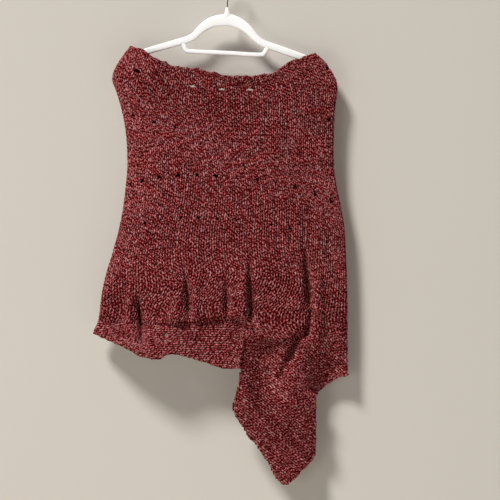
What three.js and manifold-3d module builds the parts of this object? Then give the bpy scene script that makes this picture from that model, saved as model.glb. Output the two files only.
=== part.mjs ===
import * as THREE from 'three';
import { mergeVertices } from 'three/addons/utils/BufferGeometryUtils.js';
import Module from 'manifold-3d';

const wasm = await Module();
wasm.setup();

// Knitted poncho sweater on a plastic hanger, in millimetres.
// +X is the viewer's right, the front faces -Y and +Z is up.
// The origin is the inside top of the hook, where a rail goes.

// Cloth
const WALL = 4.5; // thickness of the chunky stocking stitch
const SEAM_GAP = 0.3; // room left between two pieces where they are sewn
const NECK_COURSE = 6.4; // course at which the neck band is joined to the body
const JOIN_HALF = 0.02; // half the room left at that join, in courses
const SEAM_COURSE = 62; // course at which the front body is gathered on to the hem band
const BACK_SEAM_COURSE = 48; // the same on the back, which is shorter
const OVERHANG_HEIGHT = 10; // height over which the bloused body turns in to its seam
const OVERHANG_FADE = 130; // height over which the bulge above the seam dies out

// Hanger
const HANGER_THICK = 6;
const BAR_HIGH = 9;
const WIRE_RADIUS = 1.5;
const HOOK_INNER = 20;
const WIRE_HOLE_RADIUS = 1.9;

// Side edges of the flattened tube, seen from the front: one row for each height.
const OUTLINE = [
  { z: -139, left: -196.1, right: 152.4 },
  { z: -154, left: -209.6, right: 174.8 },
  { z: -165, left: -217.7, right: 189.1 },
  { z: -177, left: -225.4, right: 201.2 },
  { z: -189, left: -231.7, right: 209.3 },
  { z: -200, left: -235.6, right: 215.5 },
  { z: -210, left: -236.8, right: 220.5 },
  { z: -220, left: -233.5, right: 223.1 },
  { z: -233, left: -228.4, right: 223.9 },
  { z: -249, left: -223.2, right: 221.2 },
  { z: -272, left: -216.9, right: 218.4 },
  { z: -303, left: -210.6, right: 216.6 },
  { z: -344, left: -206.2, right: 215.6 },
  { z: -385, left: -205.2, right: 216.0 },
  { z: -426, left: -208.3, right: 221.1 },
  { z: -468, left: -213.2, right: 230.0 },
  { z: -519, left: -223.1, right: 238.3 },
  { z: -571, left: -237.2, right: 241.0 },
  { z: -612, left: -249.7, right: 242.8 },
  { z: -653, left: -258.6, right: 243.8 },
  { z: -704, left: -265.2, right: 244.4 },
  { z: -733, left: -275.2, right: 244.5 },
  { z: -860, left: -275.2, right: 244.9 },
];

// Courses (knitted rows): height at the left edge, the middle and the right edge,
// how far the middle stands from the side seams' plane, and how square the section is.
const FRONT_COURSES = [
  { course: 0, left: -138, mid: -203.8, right: -152, depth: 27, square: 3 },
  { course: 5, left: -168, mid: -231, right: -187, depth: 26, square: 3 },
  { course: 15, left: -272, mid: -318, right: -288, depth: 25, square: 3.2 },
  { course: 26, left: -430, mid: -412, right: -470, depth: 28, square: 3.6 },
  { course: 37, left: -526, mid: -499.5, right: -568, depth: 30, square: 4 },
  { course: 50, left: -622, mid: -605, right: -655, depth: 32, square: 4 },
  { course: 62, left: -708.5, mid: -717.75, right: -727, depth: 34, square: 4 },
];
const BACK_COURSES = [
  { course: 0, left: -138, mid: -249, right: -152, depth: 24, square: 3 },
  { course: 5, left: -168, mid: -272, right: -187, depth: 24, square: 3 },
  { course: 15, left: -272, mid: -344, right: -288, depth: 23, square: 3.2 },
  { course: 26, left: -430, mid: -424, right: -470, depth: 24, square: 3.6 },
  { course: 37, left: -526, mid: -508, right: -568, depth: 26, square: 4 },
  { course: 48, left: -634, mid: -632, right: -688, depth: 28, square: 4 },
];

// Front neck edge: how far it hangs below the line between its ends, across the width.
const NECK_SAG = [
  { across: 0, down: 0 },
  { across: 0.051, down: 6.4 },
  { across: 0.085, down: 11.9 },
  { across: 0.118, down: 22.8 },
  { across: 0.163, down: 30 },
  { across: 0.213, down: 37.2 },
  { across: 0.269, down: 42 },
  { across: 0.336, down: 42.8 },
  { across: 0.431, down: 48.6 },
  { across: 0.52, down: 56 },
  { across: 0.643, down: 54.5 },
  { across: 0.777, down: 45 },
  { across: 0.805, down: 36 },
  { across: 0.878, down: 18.7 },
  { across: 0.917, down: 13 },
  { across: 1, down: 0 },
];

// Gathered seam of the front: height above a straight line, and how far the body hangs out over it.
const SEAM_LINE = [
  { across: 0, up: 0, out: 0 },
  { across: 0.125, up: -2.8, out: 0 },
  { across: 0.246, up: -2.6, out: 3 },
  { across: 0.347, up: 3.3, out: 12 },
  { across: 0.408, up: 7.6, out: 13 },
  { across: 0.497, up: 12.3, out: 12 },
  { across: 0.549, up: 14.3, out: 12 },
  { across: 0.582, up: 7, out: 10 },
  { across: 0.618, up: -11, out: 6 },
  { across: 0.655, up: -21, out: 3 },
  { across: 0.74, up: -24, out: 0 },
  { across: 0.833, up: -17, out: 0 },
  { across: 0.913, up: -7, out: 0 },
  { across: 1, up: 0, out: 0 },
];

// Lower edges, across the width.
const HEM_LEFT = [
  { across: 0, z: -733.3 },
  { across: 0.068, z: -746.9 },
  { across: 0.125, z: -760 },
  { across: 0.185, z: -774.5 },
  { across: 0.232, z: -782.7 },
  { across: 0.261, z: -783.3 },
  { across: 0.288, z: -774.8 },
  { across: 0.307, z: -772.4 },
  { across: 0.379, z: -780.6 },
  { across: 0.434, z: -788.9 },
  { across: 0.486, z: -799.2 },
  { across: 0.51, z: -802.5 },
  { across: 0.62, z: -803.7 },
];
const HEM_RIGHT = [
  { across: 0.79, z: -856.6 },
  { across: 0.835, z: -855.8 },
  { across: 0.882, z: -853.8 },
  { across: 0.902, z: -846.1 },
  { across: 0.926, z: -836.3 },
  { across: 0.964, z: -824.7 },
  { across: 1, z: -817 },
];
const HEM_BACK = [
  { across: 0, z: -730 },
  { across: 0.2, z: -724 },
  { across: 0.45, z: -718 },
  { across: 0.65, z: -722 },
  { across: 0.82, z: -752 },
  { across: 1, z: -792 },
];

// Where the hem pieces end, by share of the way from the seam to the hem.
const LEFT_PIECE_END = [
  { down: 0, across: 0.603 },
  { down: 1, across: 0.579 },
];
const RIGHT_PIECE_START = [
  { down: 0, across: 0.8414 },
  { down: 0.125, across: 0.8304 },
  { down: 0.34, across: 0.817 },
  { down: 0.43, across: 0.808 },
  { down: 0.61, across: 0.8094 },
  { down: 0.84, across: 0.8193 },
  { down: 1, across: 0.834 },
];

// Hanging point: its two edges at each height.
const POINT_EDGES = [
  { z: -741, left: 36.4, right: 175 },
  { z: -756, left: 34.0, right: 171 },
  { z: -768, left: 31.6, right: 162 },
  { z: -776.5, left: 30.4, right: 155 },
  { z: -782, left: 29.2, right: 149.4 },
  { z: -791, left: 27.4, right: 144.6 },
  { z: -811.5, left: 24.7, right: 145 },
  { z: -832, left: 22.7, right: 149 },
  { z: -850, left: 17.6, right: 158 },
  { z: -855.5, left: 16.6, right: 183 },
  { z: -869, left: 13.8, right: 182.7 },
  { z: -879.5, left: 9.3, right: 181.9 },
  { z: -896, left: 13.8, right: 181.5 },
  { z: -925, left: 31.7, right: 180.7 },
  { z: -941, left: 39.5, right: 180.3 },
  { z: -952, left: 53, right: 180.1 },
  { z: -981, left: 71.5, right: 178.6 },
  { z: -1001, left: 85.3, right: 163.6 },
  { z: -1022, left: 94.3, right: 144.2 },
  { z: -1041.5, left: 112.5, right: 124.5 },
];

// Soft folds of the front: a line from (x, z) to (x2, z2), half width, depth into the garment
// (minus for a ridge) and the length over which each end dies out.
const FRONT_FOLDS = [
  { x: -186.4, z: -650, x2: -186.4, z2: -748, half: 6.5, depth: 11, fade: 22 },
  { x: -203, z: -630, x2: -203, z2: -740, half: 9, depth: -7, fade: 30 },
  { x: -140, z: -665, x2: -140, z2: -722, half: 8, depth: 3.5, fade: 15 },
  { x: -92, z: -580, x2: -78.3, z2: -716, half: 7.5, depth: 8, fade: 45 },
  { x: -108, z: -640, x2: -106, z2: -726, half: 12, depth: -5, fade: 25 },
  { x: -12.4, z: -628, x2: -12.4, z2: -712, half: 8, depth: 5, fade: 20 },
  { x: 45, z: -530, x2: 46, z2: -752, half: 9.5, depth: 11, fade: 80 },
  { x: 46, z: -728, x2: 62, z2: -862, half: 14, depth: 8, fade: 30 },
  { x: 157, z: -574, x2: 171, z2: -700, half: 9.5, depth: 11, fade: 35 },
  { x: 172, z: -672, x2: 141, z2: -778, half: 11, depth: 12, fade: 24 },
  { x: 187, z: -574, x2: 190, z2: -700, half: 12, depth: -5, fade: 35 },
  { x: 30, z: -350, x2: 30, z2: -645, half: 95, depth: -6, fade: 120 },
];
const BACK_FOLDS = [
  { x: -150, z: -520, x2: -160, z2: -660, half: 9, depth: 8, fade: 45 },
  { x: -70, z: -570, x2: -62, z2: -665, half: 9, depth: 7, fade: 35 },
  { x: 10, z: -500, x2: 12, z2: -665, half: 10, depth: 8, fade: 60 },
  { x: 95, z: -560, x2: 104, z2: -690, half: 9, depth: 7, fade: 40 },
  { x: 178, z: -540, x2: 172, z2: -700, half: 10, depth: 8, fade: 50 },
  { x: 0, z: -330, x2: 0, z2: -640, half: 110, depth: -6, fade: 120 },
];

// Slanting waves of the hanging point, by distance in from its lower left edge.
const POINT_SLANT = { x: 9.3, z: -879.5, degrees: 54 };
const POINT_WAVES = [
  { in: 18, half: 8, depth: -3.5 },
  { in: 36, half: 7, depth: 3 },
  { in: 56, half: 9, depth: -4.5 },
  { in: 80, half: 10, depth: 4 },
  { in: 108, half: 12, depth: -3 },
];

// Eyelets: the course they lie on, their positions across, and their size.
const FRONT_EYELETS = [
  { course: 5, x: [-187.5, -72.1, -12.4, 45.3, 154.5], wide: 12.5, high: 5.8 },
  { course: 5, x: [-129.8, 100.9], wide: 8, high: 4.4 },
  { course: 4.6, x: [204.5], wide: 9, high: 9 },
  { course: 15, x: [-193.6, -151.4, -109.2, 208.1], wide: 6, high: 5 },
  { course: 17.3, x: [-152.4], wide: 5, high: 4.6 },
  { course: 23, x: [-185.4, 33], wide: 5, high: 4.6 },
  { course: 26, x: [-198.5, -176.5, -140.7, -102.2, -63, -24.5, 18.5], wide: 7.5, high: 6.4 },
  { course: 26, x: [61.2, 97, 139, 179.2, 211.6], wide: 7.5, high: 6.4 },
  { course: 37, x: [-207, -170.6, -135.5, -97, -59.5, -21.8, 17.7], wide: 7.5, high: 6.4 },
  { course: 37, x: [51.1, 89.4, 128.8, 166.9, 202.3, 232], wide: 7.5, high: 6.4 },
];
const BACK_EYELETS = [
  { course: 5, x: [-176, -118, -60, -2, 56, 114, 168], wide: 12, high: 5.6 },
  { course: 28, x: [-186, -148, -110, -72, -34, 4, 42, 80, 118, 156, 192], wide: 7.5, high: 6.4 },
  { course: 39, x: [-200, -162, -124, -86, -48, -10, 28, 66, 104, 142, 180, 214], wide: 7.5, high: 6.4 },
];
const LOOSE_STITCHES = [
  { piece: 'border_left', x: -125.6, z: -733.3, wide: 5.6, high: 9.5 },
  { piece: 'body_front', x: 55.6, z: -727.5, wide: 5, high: 6.4 },
  { piece: 'border_point', x: 80.3, z: -810, wide: 4.8, high: 7 },
  { piece: 'border_point', x: 34, z: -866, wide: 4.8, high: 4.8 },
];

// Centre line of the moulded hanger from the left tip over the arch to the right tip.
const HANGER_LINE = [
  { x: -201.6, z: -161.5, high: 13 },
  { x: -144.2, z: -144.2, high: 13.6 },
  { x: -103, z: -132.5, high: 14.4 },
  { x: -82.4, z: -126.2, high: 14.8 },
  { x: -70, z: -119.8, high: 14.6 },
  { x: -59, z: -108.5, high: 16.2 },
  { x: -46, z: -98.1, high: 19.6 },
  { x: -26, z: -89, high: 22.8 },
  { x: 0, z: -86.4, high: 25.2 },
  { x: 18, z: -91.2, high: 23.2 },
  { x: 33, z: -99.7, high: 20.5 },
  { x: 45, z: -110.2, high: 17.8 },
  { x: 57, z: -123.6, high: 15.2 },
  { x: 70, z: -133.4, high: 14.8 },
  { x: 103, z: -145.5, high: 15.1 },
  { x: 184, z: -174.6, high: 13.6 },
];
const BAR_LINE = [
  { x: -93.5, z: -131 },
  { x: -90.6, z: -139 },
  { x: -86.5, z: -148.5 },
  { x: -83, z: -150.6 },
  { x: -8, z: -154.3 },
  { x: 66, z: -158.3 },
  { x: 71.5, z: -157.9 },
  { x: 76.5, z: -152 },
  { x: 82, z: -142 },
];
const BOSS = { x: -1.5, top: -61.7, bottom: -79, topRadius: 3.2, bottomRadius: 8.5 };
const HOOK_START = [
  { x: -1.3, z: -70 },
  { x: -1.3, z: -58 },
  { x: -1.2, z: -48.5 },
  { x: 0.8, z: -43.6 },
];

/** Smooth curve through two columns of a table that never overshoots its rows. */
function curve(rows, atColumn, valueColumn) {
  const at = rows.map((row) => row[atColumn]);
  const value = rows.map((row) => row[valueColumn]);
  const rising = at[at.length - 1] > at[0];
  if (!rising) {
    at.reverse();
    value.reverse();
  }
  const slope = at.slice(1).map((a, i) => (value[i + 1] - value[i]) / (a - at[i]));
  const tangent = at.map((_, i) => {
    if (i === 0) return slope[0];
    if (i === at.length - 1) return slope[i - 1];
    const product = slope[i - 1] * slope[i];
    return product > 0 ? (2 * product) / (slope[i - 1] + slope[i]) : 0;
  });
  return (wanted) => {
    const q = Math.min(Math.max(wanted, at[0]), at[at.length - 1]);
    let i = 0;
    while (i < at.length - 2 && q > at[i + 1]) i += 1;
    const step = at[i + 1] - at[i];
    const t = (q - at[i]) / step;
    const a = (1 + 2 * t) * (1 - t) * (1 - t) * value[i] + t * (1 - t) * (1 - t) * step * tangent[i];
    return a + t * t * (3 - 2 * t) * value[i + 1] + t * t * (t - 1) * step * tangent[i + 1];
  };
}

/** Eases from 0 to 1 as the value goes from low to high. */
function ease(value, low, high) {
  const t = Math.min(Math.max((value - low) / (high - low), 0), 1);
  return t * t * (3 - 2 * t);
}

const outlineLeft = curve(OUTLINE, 'z', 'left');
const outlineRight = curve(OUTLINE, 'z', 'right');
const neckSag = curve(NECK_SAG, 'across', 'down');
const seamUp = curve(SEAM_LINE, 'across', 'up');
const seamOut = curve(SEAM_LINE, 'across', 'out');
const hemLeft = curve(HEM_LEFT, 'across', 'z');
const hemRight = curve(HEM_RIGHT, 'across', 'z');
const hemBack = curve(HEM_BACK, 'across', 'z');
const leftPieceEnd = curve(LEFT_PIECE_END, 'down', 'across');
const rightPieceStart = curve(RIGHT_PIECE_START, 'down', 'across');
const pointLeft = curve(POINT_EDGES, 'z', 'left');
const pointRight = curve(POINT_EDGES, 'z', 'right');

function courseCurves(rows) {
  const columns = ['left', 'mid', 'right', 'depth', 'square'];
  return Object.fromEntries(columns.map((name) => [name, curve(rows, 'course', name)]));
}
const frontCourse = courseCurves(FRONT_COURSES);
const backCourse = courseCurves(BACK_COURSES);

/** Share of the width, 0 to 1, for an even step from the left seam (-1) to the right seam (1). */
const acrossOf = (side) => (1 + Math.sin((Math.PI * side) / 2)) / 2;
const sideOf = (across) => (2 / Math.PI) * Math.asin(2 * across - 1);

/** How deep the listed folds press into the cloth at a place on it. */
function foldDepth(folds, x, z) {
  let sum = 0;
  for (const fold of folds) {
    const down = (fold.z - z) / (fold.z - fold.z2);
    const centre = fold.x + (fold.x2 - fold.x) * Math.min(Math.max(down, 0), 1);
    const share = fold.fade / (fold.z - fold.z2);
    const along = ease(down, 0, share) * (1 - ease(down, 1 - Math.min(share, 0.35), 1));
    sum += fold.depth * along * Math.exp(-(((x - centre) / fold.half) ** 2));
  }
  return sum;
}

/** Distance of the plain section from the plane of the side seams. */
function sectionDepth(across, depth, square) {
  const edge = Math.abs(2 * across - 1);
  return depth * Math.sqrt(Math.max(1 - edge ** square, 0));
}

/** Folds die out towards the side seams, where front and back meet. */
const seamShare = (across) => Math.max(1 - Math.abs(2 * across - 1) ** 8, 0);

/** Front of the tube: side -1 to 1 across, course from the neck edge down to the gathered seam. */
function frontAt(side, course) {
  const across = acrossOf(side);
  const leftZ = frontCourse.left(course);
  const rightZ = frontCourse.right(course);
  const lift = frontCourse.mid(course) - (leftZ + rightZ) / 2;
  const power = 2.4 + 0.6 * ease(course, 5, 26);
  const arch = 1 - Math.abs(2 * across - 1) ** power;
  const atNeck = 1 - ease(course, 0, 5);
  let z = leftZ + (rightZ - leftZ) * across + lift * arch * (1 - atNeck) - neckSag(across) * atNeck;
  z += seamUp(across) * ease(course, 46, SEAM_COURSE);
  const x = outlineLeft(leftZ) + (outlineRight(rightZ) - outlineLeft(leftZ)) * across;
  let y = -sectionDepth(across, frontCourse.depth(course), frontCourse.square(course));
  y += foldDepth(FRONT_FOLDS, x, z) * seamShare(across);
  const above = Math.max(z - seamFrontZ(across), 0);
  const turn = Math.sin((Math.PI / 2) * Math.min(above / OVERHANG_HEIGHT, 1));
  y -= seamOut(across) * turn * (1 - ease(above, OVERHANG_HEIGHT, OVERHANG_FADE));
  y -= 7 * atNeck * atNeck * Math.max(1 - ((across - 0.53) / 0.33) ** 2, 0);
  return new THREE.Vector3(x, y - SEAM_GAP / 2, z);
}

/** Height of the front's gathered seam. */
function seamFrontZ(across) {
  const leftZ = frontCourse.left(SEAM_COURSE);
  const rightZ = frontCourse.right(SEAM_COURSE);
  return leftZ + (rightZ - leftZ) * across + seamUp(across);
}

/** Back of the tube, the same way; it is folded and gathered less. */
function backAt(side, course) {
  const across = acrossOf(side);
  const leftZ = backCourse.left(course);
  const rightZ = backCourse.right(course);
  const lift = backCourse.mid(course) - (leftZ + rightZ) / 2;
  const arch = 1 - Math.abs(2 * across - 1) ** 2.3;
  const z = leftZ + (rightZ - leftZ) * across + lift * arch;
  const x = outlineLeft(leftZ) + (outlineRight(rightZ) - outlineLeft(leftZ)) * across;
  let y = sectionDepth(across, backCourse.depth(course), backCourse.square(course));
  y -= foldDepth(BACK_FOLDS, x, z) * seamShare(across);
  const above = Math.max(z - seamBackZ(across), 0);
  const turn = Math.sin((Math.PI / 2) * Math.min(above / OVERHANG_HEIGHT, 1));
  y += 8 * arch * turn * (1 - ease(above, OVERHANG_HEIGHT, OVERHANG_FADE));
  return new THREE.Vector3(x, y + SEAM_GAP / 2, z);
}

function seamBackZ(across) {
  const leftZ = backCourse.left(BACK_SEAM_COURSE);
  const rightZ = backCourse.right(BACK_SEAM_COURSE);
  const lift = backCourse.mid(BACK_SEAM_COURSE) - (leftZ + rightZ) / 2;
  return leftZ + (rightZ - leftZ) * across + lift * (1 - Math.abs(2 * across - 1) ** 2.3);
}

/** Depth of the lower front, where the hem pieces hang, at a place seen from the front. */
function lowerFrontY(x, z) {
  const left = outlineLeft(z);
  const across = Math.min(Math.max((x - left) / (outlineRight(z) - left), 0), 1);
  const section = sectionDepth(across, frontCourse.depth(SEAM_COURSE), frontCourse.square(SEAM_COURSE));
  return foldDepth(FRONT_FOLDS, x, z) * seamShare(across) - section - SEAM_GAP / 2;
}

/** Hem piece of the front: the tube carried on below the seam, down being 0 at the seam, 1 at the hem. */
function hemFrontAt(across, down, hem, kick) {
  const top = seamFrontZ(across) + 1.6;
  const z = top + (hem(across) - top) * down;
  const x = outlineLeft(z) + (outlineRight(z) - outlineLeft(z)) * across;
  return new THREE.Vector3(x, lowerFrontY(x, z) + kick(across, down) * seamShare(across), z);
}

/** The left hem kicks out to the front, most of all a quarter of the way in from the side. */
function leftKick(across, down) {
  const side = ease(across, 0, 0.16) * (1 - 0.8 * ease(across, 0.22, 0.4));
  return -15 * down * down * side * (1 - ease(across, 0.52, 0.6));
}

/** The right hem tucks in towards its lower edge and its left edge stands out as a fold. */
function rightKick(across, down) {
  const tuck = 9 * down * down * ease(across, 0.84, 0.9) * (1 - ease(across, 0.95, 1));
  const fold = -7 * (1 - ease(across, 0.815, 0.87)) * (1 - ease(down, 0.28, 0.5));
  return tuck + fold - 1.5 * (1 - ease(across, 0.83, 0.88)) * ease(down, 0.8, 1);
}

/** Depth added to the hanging point: slanting waves, a pocket behind the fold and a turned edge. */
function pointRelief(x, z, right) {
  const angle = (POINT_SLANT.degrees * Math.PI) / 180;
  const inward = (x - POINT_SLANT.x) * Math.sin(angle) + (z - POINT_SLANT.z) * Math.cos(angle);
  let sum = 0;
  for (const wave of POINT_WAVES) sum += wave.depth * Math.exp(-(((inward - wave.in) / wave.half) ** 2));
  sum *= ease(-z, 835, 885);
  sum += 11 * ease(-z, 835, 1040);
  sum += 9 * Math.exp(-((Math.max(168 - x, 0) / 16) ** 2)) * (1 - ease(-z, 768, 795));
  sum += 3.5 * Math.exp(-((right - x) / 9)) * ease(-z, 880, 900);
  return sum;
}

/** Hanging point: from edge to edge at each height, its top row following the gathered seam. */
function pointAt(share, down) {
  const row = POINT_EDGES[0].z + (POINT_EDGES[POINT_EDGES.length - 1].z - POINT_EDGES[0].z) * down;
  const right = pointRight(row);
  const x = pointLeft(row) + (right - pointLeft(row)) * share;
  const across = (x - outlineLeft(row)) / (outlineRight(row) - outlineLeft(row));
  const z = row + (seamFrontZ(across) + 1.6 - POINT_EDGES[0].z) * (1 - ease(down, 0, 0.16));
  return new THREE.Vector3(x, lowerFrontY(x, z) + pointRelief(x, z, right), z);
}

/** Hem band of the back. */
function hemBackAt(side, down) {
  const across = acrossOf(side);
  const top = seamBackZ(across) + 1.6;
  const z = top + (hemBack(across) - top) * down;
  const x = outlineLeft(z) + (outlineRight(z) - outlineLeft(z)) * across;
  const depth = backCourse.depth(BACK_SEAM_COURSE);
  const section = sectionDepth(across, depth, backCourse.square(BACK_SEAM_COURSE));
  const folds = foldDepth(BACK_FOLDS, x, z) * seamShare(across);
  return new THREE.Vector3(x, section - folds + SEAM_GAP / 2, z);
}

/** Turns three.js geometry into a solid for joining and cutting. */
function toSolid(geometry) {
  const plain = geometry.clone();
  plain.deleteAttribute('normal');
  plain.deleteAttribute('uv');
  const merged = mergeVertices(plain, 1e-4);
  const mesh = new wasm.Mesh({
    numProp: 3,
    vertProperties: new Float32Array(merged.attributes.position.array),
    triVerts: new Uint32Array(merged.index.array),
  });
  mesh.merge();
  return new wasm.Manifold(mesh);
}

/** Largest body of a solid, as three.js geometry. */
function toGeometry(solid) {
  const bodies = solid.decompose().sort((a, b) => b.volume() - a.volume());
  const mesh = bodies[0].getMesh();
  const geometry = new THREE.BufferGeometry();
  const count = mesh.vertProperties.length / mesh.numProp;
  const positions = new Float32Array(count * 3);
  for (let i = 0; i < count; i += 1) {
    for (let k = 0; k < 3; k += 1) positions[3 * i + k] = mesh.vertProperties[mesh.numProp * i + k];
  }
  geometry.setAttribute('position', new THREE.BufferAttribute(positions, 3));
  geometry.setIndex(new THREE.BufferAttribute(new Uint32Array(mesh.triVerts), 1));
  return geometry;
}

/**
 * Wall of cloth round a mid-surface: each point of a grid is moved half the thickness to both sides
 * along the surface's normal, and the two skins are joined round the rim. grow makes it larger all
 * round, rim included, for use as a cutter that leaves a gap. seamAt tells which sides lie on a side seam.
 */
function clothWall(surface, us, vs, { grow = 0, seamAt = [false, false] } = {}) {
  const half = WALL / 2 + grow;
  const nudge = 1e-3;
  const lastU = us[us.length - 1];
  const lastV = vs[vs.length - 1];
  const outer = [];
  const inner = [];
  vs.forEach((v, j) => {
    us.forEach((u, i) => {
      const point = surface(u, v);
      const du = surface(Math.min(u + nudge, lastU), v).sub(surface(Math.max(u - nudge, us[0]), v));
      const dv = surface(u, Math.min(v + nudge, lastV)).sub(surface(u, Math.max(v - nudge, vs[0])));
      du.normalize();
      dv.normalize();
      const onSeam = (i === 0 && seamAt[0]) || (i === us.length - 1 && seamAt[1]);
      const normal = du.clone().cross(dv);
      if (onSeam) normal.y = 0;
      normal.normalize();
      if (grow > 0) {
        if (i === 0) point.addScaledVector(du, -grow);
        if (i === us.length - 1) point.addScaledVector(du, grow);
        if (j === 0) point.addScaledVector(dv, -grow);
        if (j === vs.length - 1) point.addScaledVector(dv, grow);
      }
      outer.push(point.clone().addScaledVector(normal, half));
      inner.push(point.clone().addScaledVector(normal, -half));
    });
  });
  const wide = us.length;
  const tall = vs.length;
  const points = [...outer, ...inner];
  const back = outer.length;
  const faces = [];
  const quad = (a, b, c, d) => faces.push(a, b, c, a, c, d);
  for (let j = 0; j < tall - 1; j += 1) {
    for (let i = 0; i < wide - 1; i += 1) {
      const a = j * wide + i;
      quad(a, a + 1, a + wide + 1, a + wide);
      quad(back + a, back + a + wide, back + a + wide + 1, back + a + 1);
    }
  }
  const rim = [];
  for (let i = 0; i < wide; i += 1) rim.push(i);
  for (let j = 1; j < tall; j += 1) rim.push(j * wide + wide - 1);
  for (let i = wide - 2; i >= 0; i -= 1) rim.push((tall - 1) * wide + i);
  for (let j = tall - 2; j > 0; j -= 1) rim.push(j * wide);
  rim.forEach((a, k) => {
    const b = rim[(k + 1) % rim.length];
    quad(b, a, back + a, back + b);
  });
  return closedSolid(points, faces);
}

/** Solid from points and triangles, turned so that its faces look out. */
function closedSolid(points, faces) {
  let volume = 0;
  for (let k = 0; k < faces.length; k += 3) {
    const [a, b, c] = [points[faces[k]], points[faces[k + 1]], points[faces[k + 2]]];
    volume += a.dot(new THREE.Vector3().crossVectors(b, c));
  }
  if (volume < 0) {
    for (let k = 0; k < faces.length; k += 3) [faces[k], faces[k + 1]] = [faces[k + 1], faces[k]];
  }
  const geometry = new THREE.BufferGeometry().setFromPoints(points);
  geometry.setIndex(faces);
  return toSolid(geometry);
}

/** Solid rod of changing oval section along a line in the plane y = 0; round ends if asked. */
function rod(line, thick, roundEnds) {
  const around = 8;
  const centres = line.map((p) => new THREE.Vector3(p.x, 0, p.z));
  const path = new THREE.CatmullRomCurve3(centres, false, 'centripetal');
  const high = curve(line.map((p, i) => ({ at: i / (line.length - 1), high: p.high })), 'at', 'high');
  const stations = [];
  const count = (line.length - 1) * 2;
  for (let k = 0; k <= count; k += 1) stations.push({ at: k / count, push: 0, size: 1 });
  if (roundEnds) {
    for (const [push, size] of [[2.5, 0.93], [4.4, 0.76], [5.6, 0.5]]) {
      stations.unshift({ at: 0, push: -push, size });
      stations.push({ at: 1, push, size });
    }
  }
  const points = [];
  for (const { at, push, size } of stations) {
    const centre = path.getPoint(at);
    const tangent = path.getTangent(at);
    const side = new THREE.Vector3(-tangent.z, 0, tangent.x);
    centre.addScaledVector(tangent, push);
    for (let k = 0; k < around; k += 1) {
      const angle = (2 * Math.PI * (k + 0.5)) / around;
      const c = Math.sign(Math.cos(angle)) * Math.abs(Math.cos(angle)) ** 0.7;
      const s = Math.sign(Math.sin(angle)) * Math.abs(Math.sin(angle)) ** 0.7;
      const point = centre.clone().addScaledVector(side, (c * size * high(at)) / 2);
      point.y += (s * size * thick) / 2;
      points.push(point);
    }
  }
  return tubeSolid(points, around);
}

/** Closes rings of points, one after another, into a solid with flat ends. */
function tubeSolid(points, around) {
  const faces = [];
  const rings = points.length / around;
  for (let r = 0; r < rings - 1; r += 1) {
    for (let k = 0; k < around; k += 1) {
      const a = r * around + k;
      const b = r * around + ((k + 1) % around);
      faces.push(a, b, b + around, a, b + around, a + around);
    }
  }
  const last = (rings - 1) * around;
  for (let k = 1; k < around - 1; k += 1) {
    faces.push(0, k + 1, k);
    faces.push(last, last + k, last + k + 1);
  }
  return closedSolid(points, faces);
}

/** Six-sided plug along Y for an eyelet, turned to lie along its course. */
function eyeletPlug(x, z, wide, high, tilt, front) {
  const plug = new THREE.CylinderGeometry(0.5, 0.5, 90, 6);
  plug.rotateY(Math.PI / 6);
  plug.scale(wide * 1.08, 1, high * 1.08);
  plug.rotateY(-tilt);
  plug.translate(x, front ? -46 : 46, z);
  return toSolid(plug);
}

/** Plugs for rows of eyelets, each placed on its course where the row's x falls. */
function eyeletRow(surface, rows, front) {
  const plugs = [];
  for (const row of rows) {
    for (const x of row.x) {
      let low = -1;
      let high = 1;
      for (let k = 0; k < 40; k += 1) {
        const mid = (low + high) / 2;
        if (surface(mid, row.course).x < x) low = mid;
        else high = mid;
      }
      const here = surface(low, row.course);
      const next = surface(Math.min(low + 0.01, 1), row.course);
      const tilt = Math.atan2(next.z - here.z, next.x - here.x);
      plugs.push(eyeletPlug(x, here.z, row.wide, row.high, tilt, front));
    }
  }
  return plugs;
}

const cutAll = (solid, cutters) => cutters.reduce((rest, cutter) => rest.subtract(cutter), solid);

/** Even steps from low to high. */
function steps(low, high, count) {
  return Array.from({ length: count + 1 }, (_, i) => low + ((high - low) * i) / count);
}

// Grid lines across, as shares of the width: closer at the side seams and at the folds.
const FRONT_ACROSS = [
  0, 0.0015, 0.006, 0.0135, 0.026, 0.046, 0.072, 0.1, 0.118, 0.135, 0.147, 0.158, 0.169, 0.182, 0.202,
  0.225, 0.241, 0.25, 0.262, 0.285, 0.305, 0.325, 0.342, 0.353, 0.363, 0.373, 0.386, 0.41, 0.44, 0.465,
  0.485, 0.5, 0.515, 0.535, 0.562, 0.583, 0.597, 0.612, 0.627, 0.642, 0.665, 0.7, 0.735, 0.765, 0.79,
  0.806, 0.822, 0.836, 0.85, 0.864, 0.88, 0.9, 0.925, 0.95, 0.971, 0.985, 0.994, 0.9985, 1,
];
const BACK_ACROSS = [
  0, 0.0015, 0.006, 0.0135, 0.026, 0.05, 0.085, 0.13, 0.18, 0.215, 0.245, 0.28, 0.33, 0.375, 0.405,
  0.435, 0.48, 0.52, 0.55, 0.58, 0.63, 0.68, 0.71, 0.74, 0.79, 0.835, 0.865, 0.895, 0.94, 0.974,
  0.9865, 0.994, 0.9985, 1,
];
const NECK_ACROSS = [
  0, 0.0015, 0.006, 0.0135, 0.026, 0.05, 0.085, 0.118, 0.163, 0.213, 0.269, 0.336, 0.386, 0.431, 0.476, 0.52,
  0.576, 0.643, 0.705, 0.777, 0.805, 0.839, 0.878, 0.917, 0.95, 0.974, 0.9865, 0.994, 0.9985, 1,
];
const frontSides = FRONT_ACROSS.map(sideOf);
const backSides = BACK_ACROSS.map(sideOf);
const neckSides = NECK_ACROSS.map(sideOf);

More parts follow.
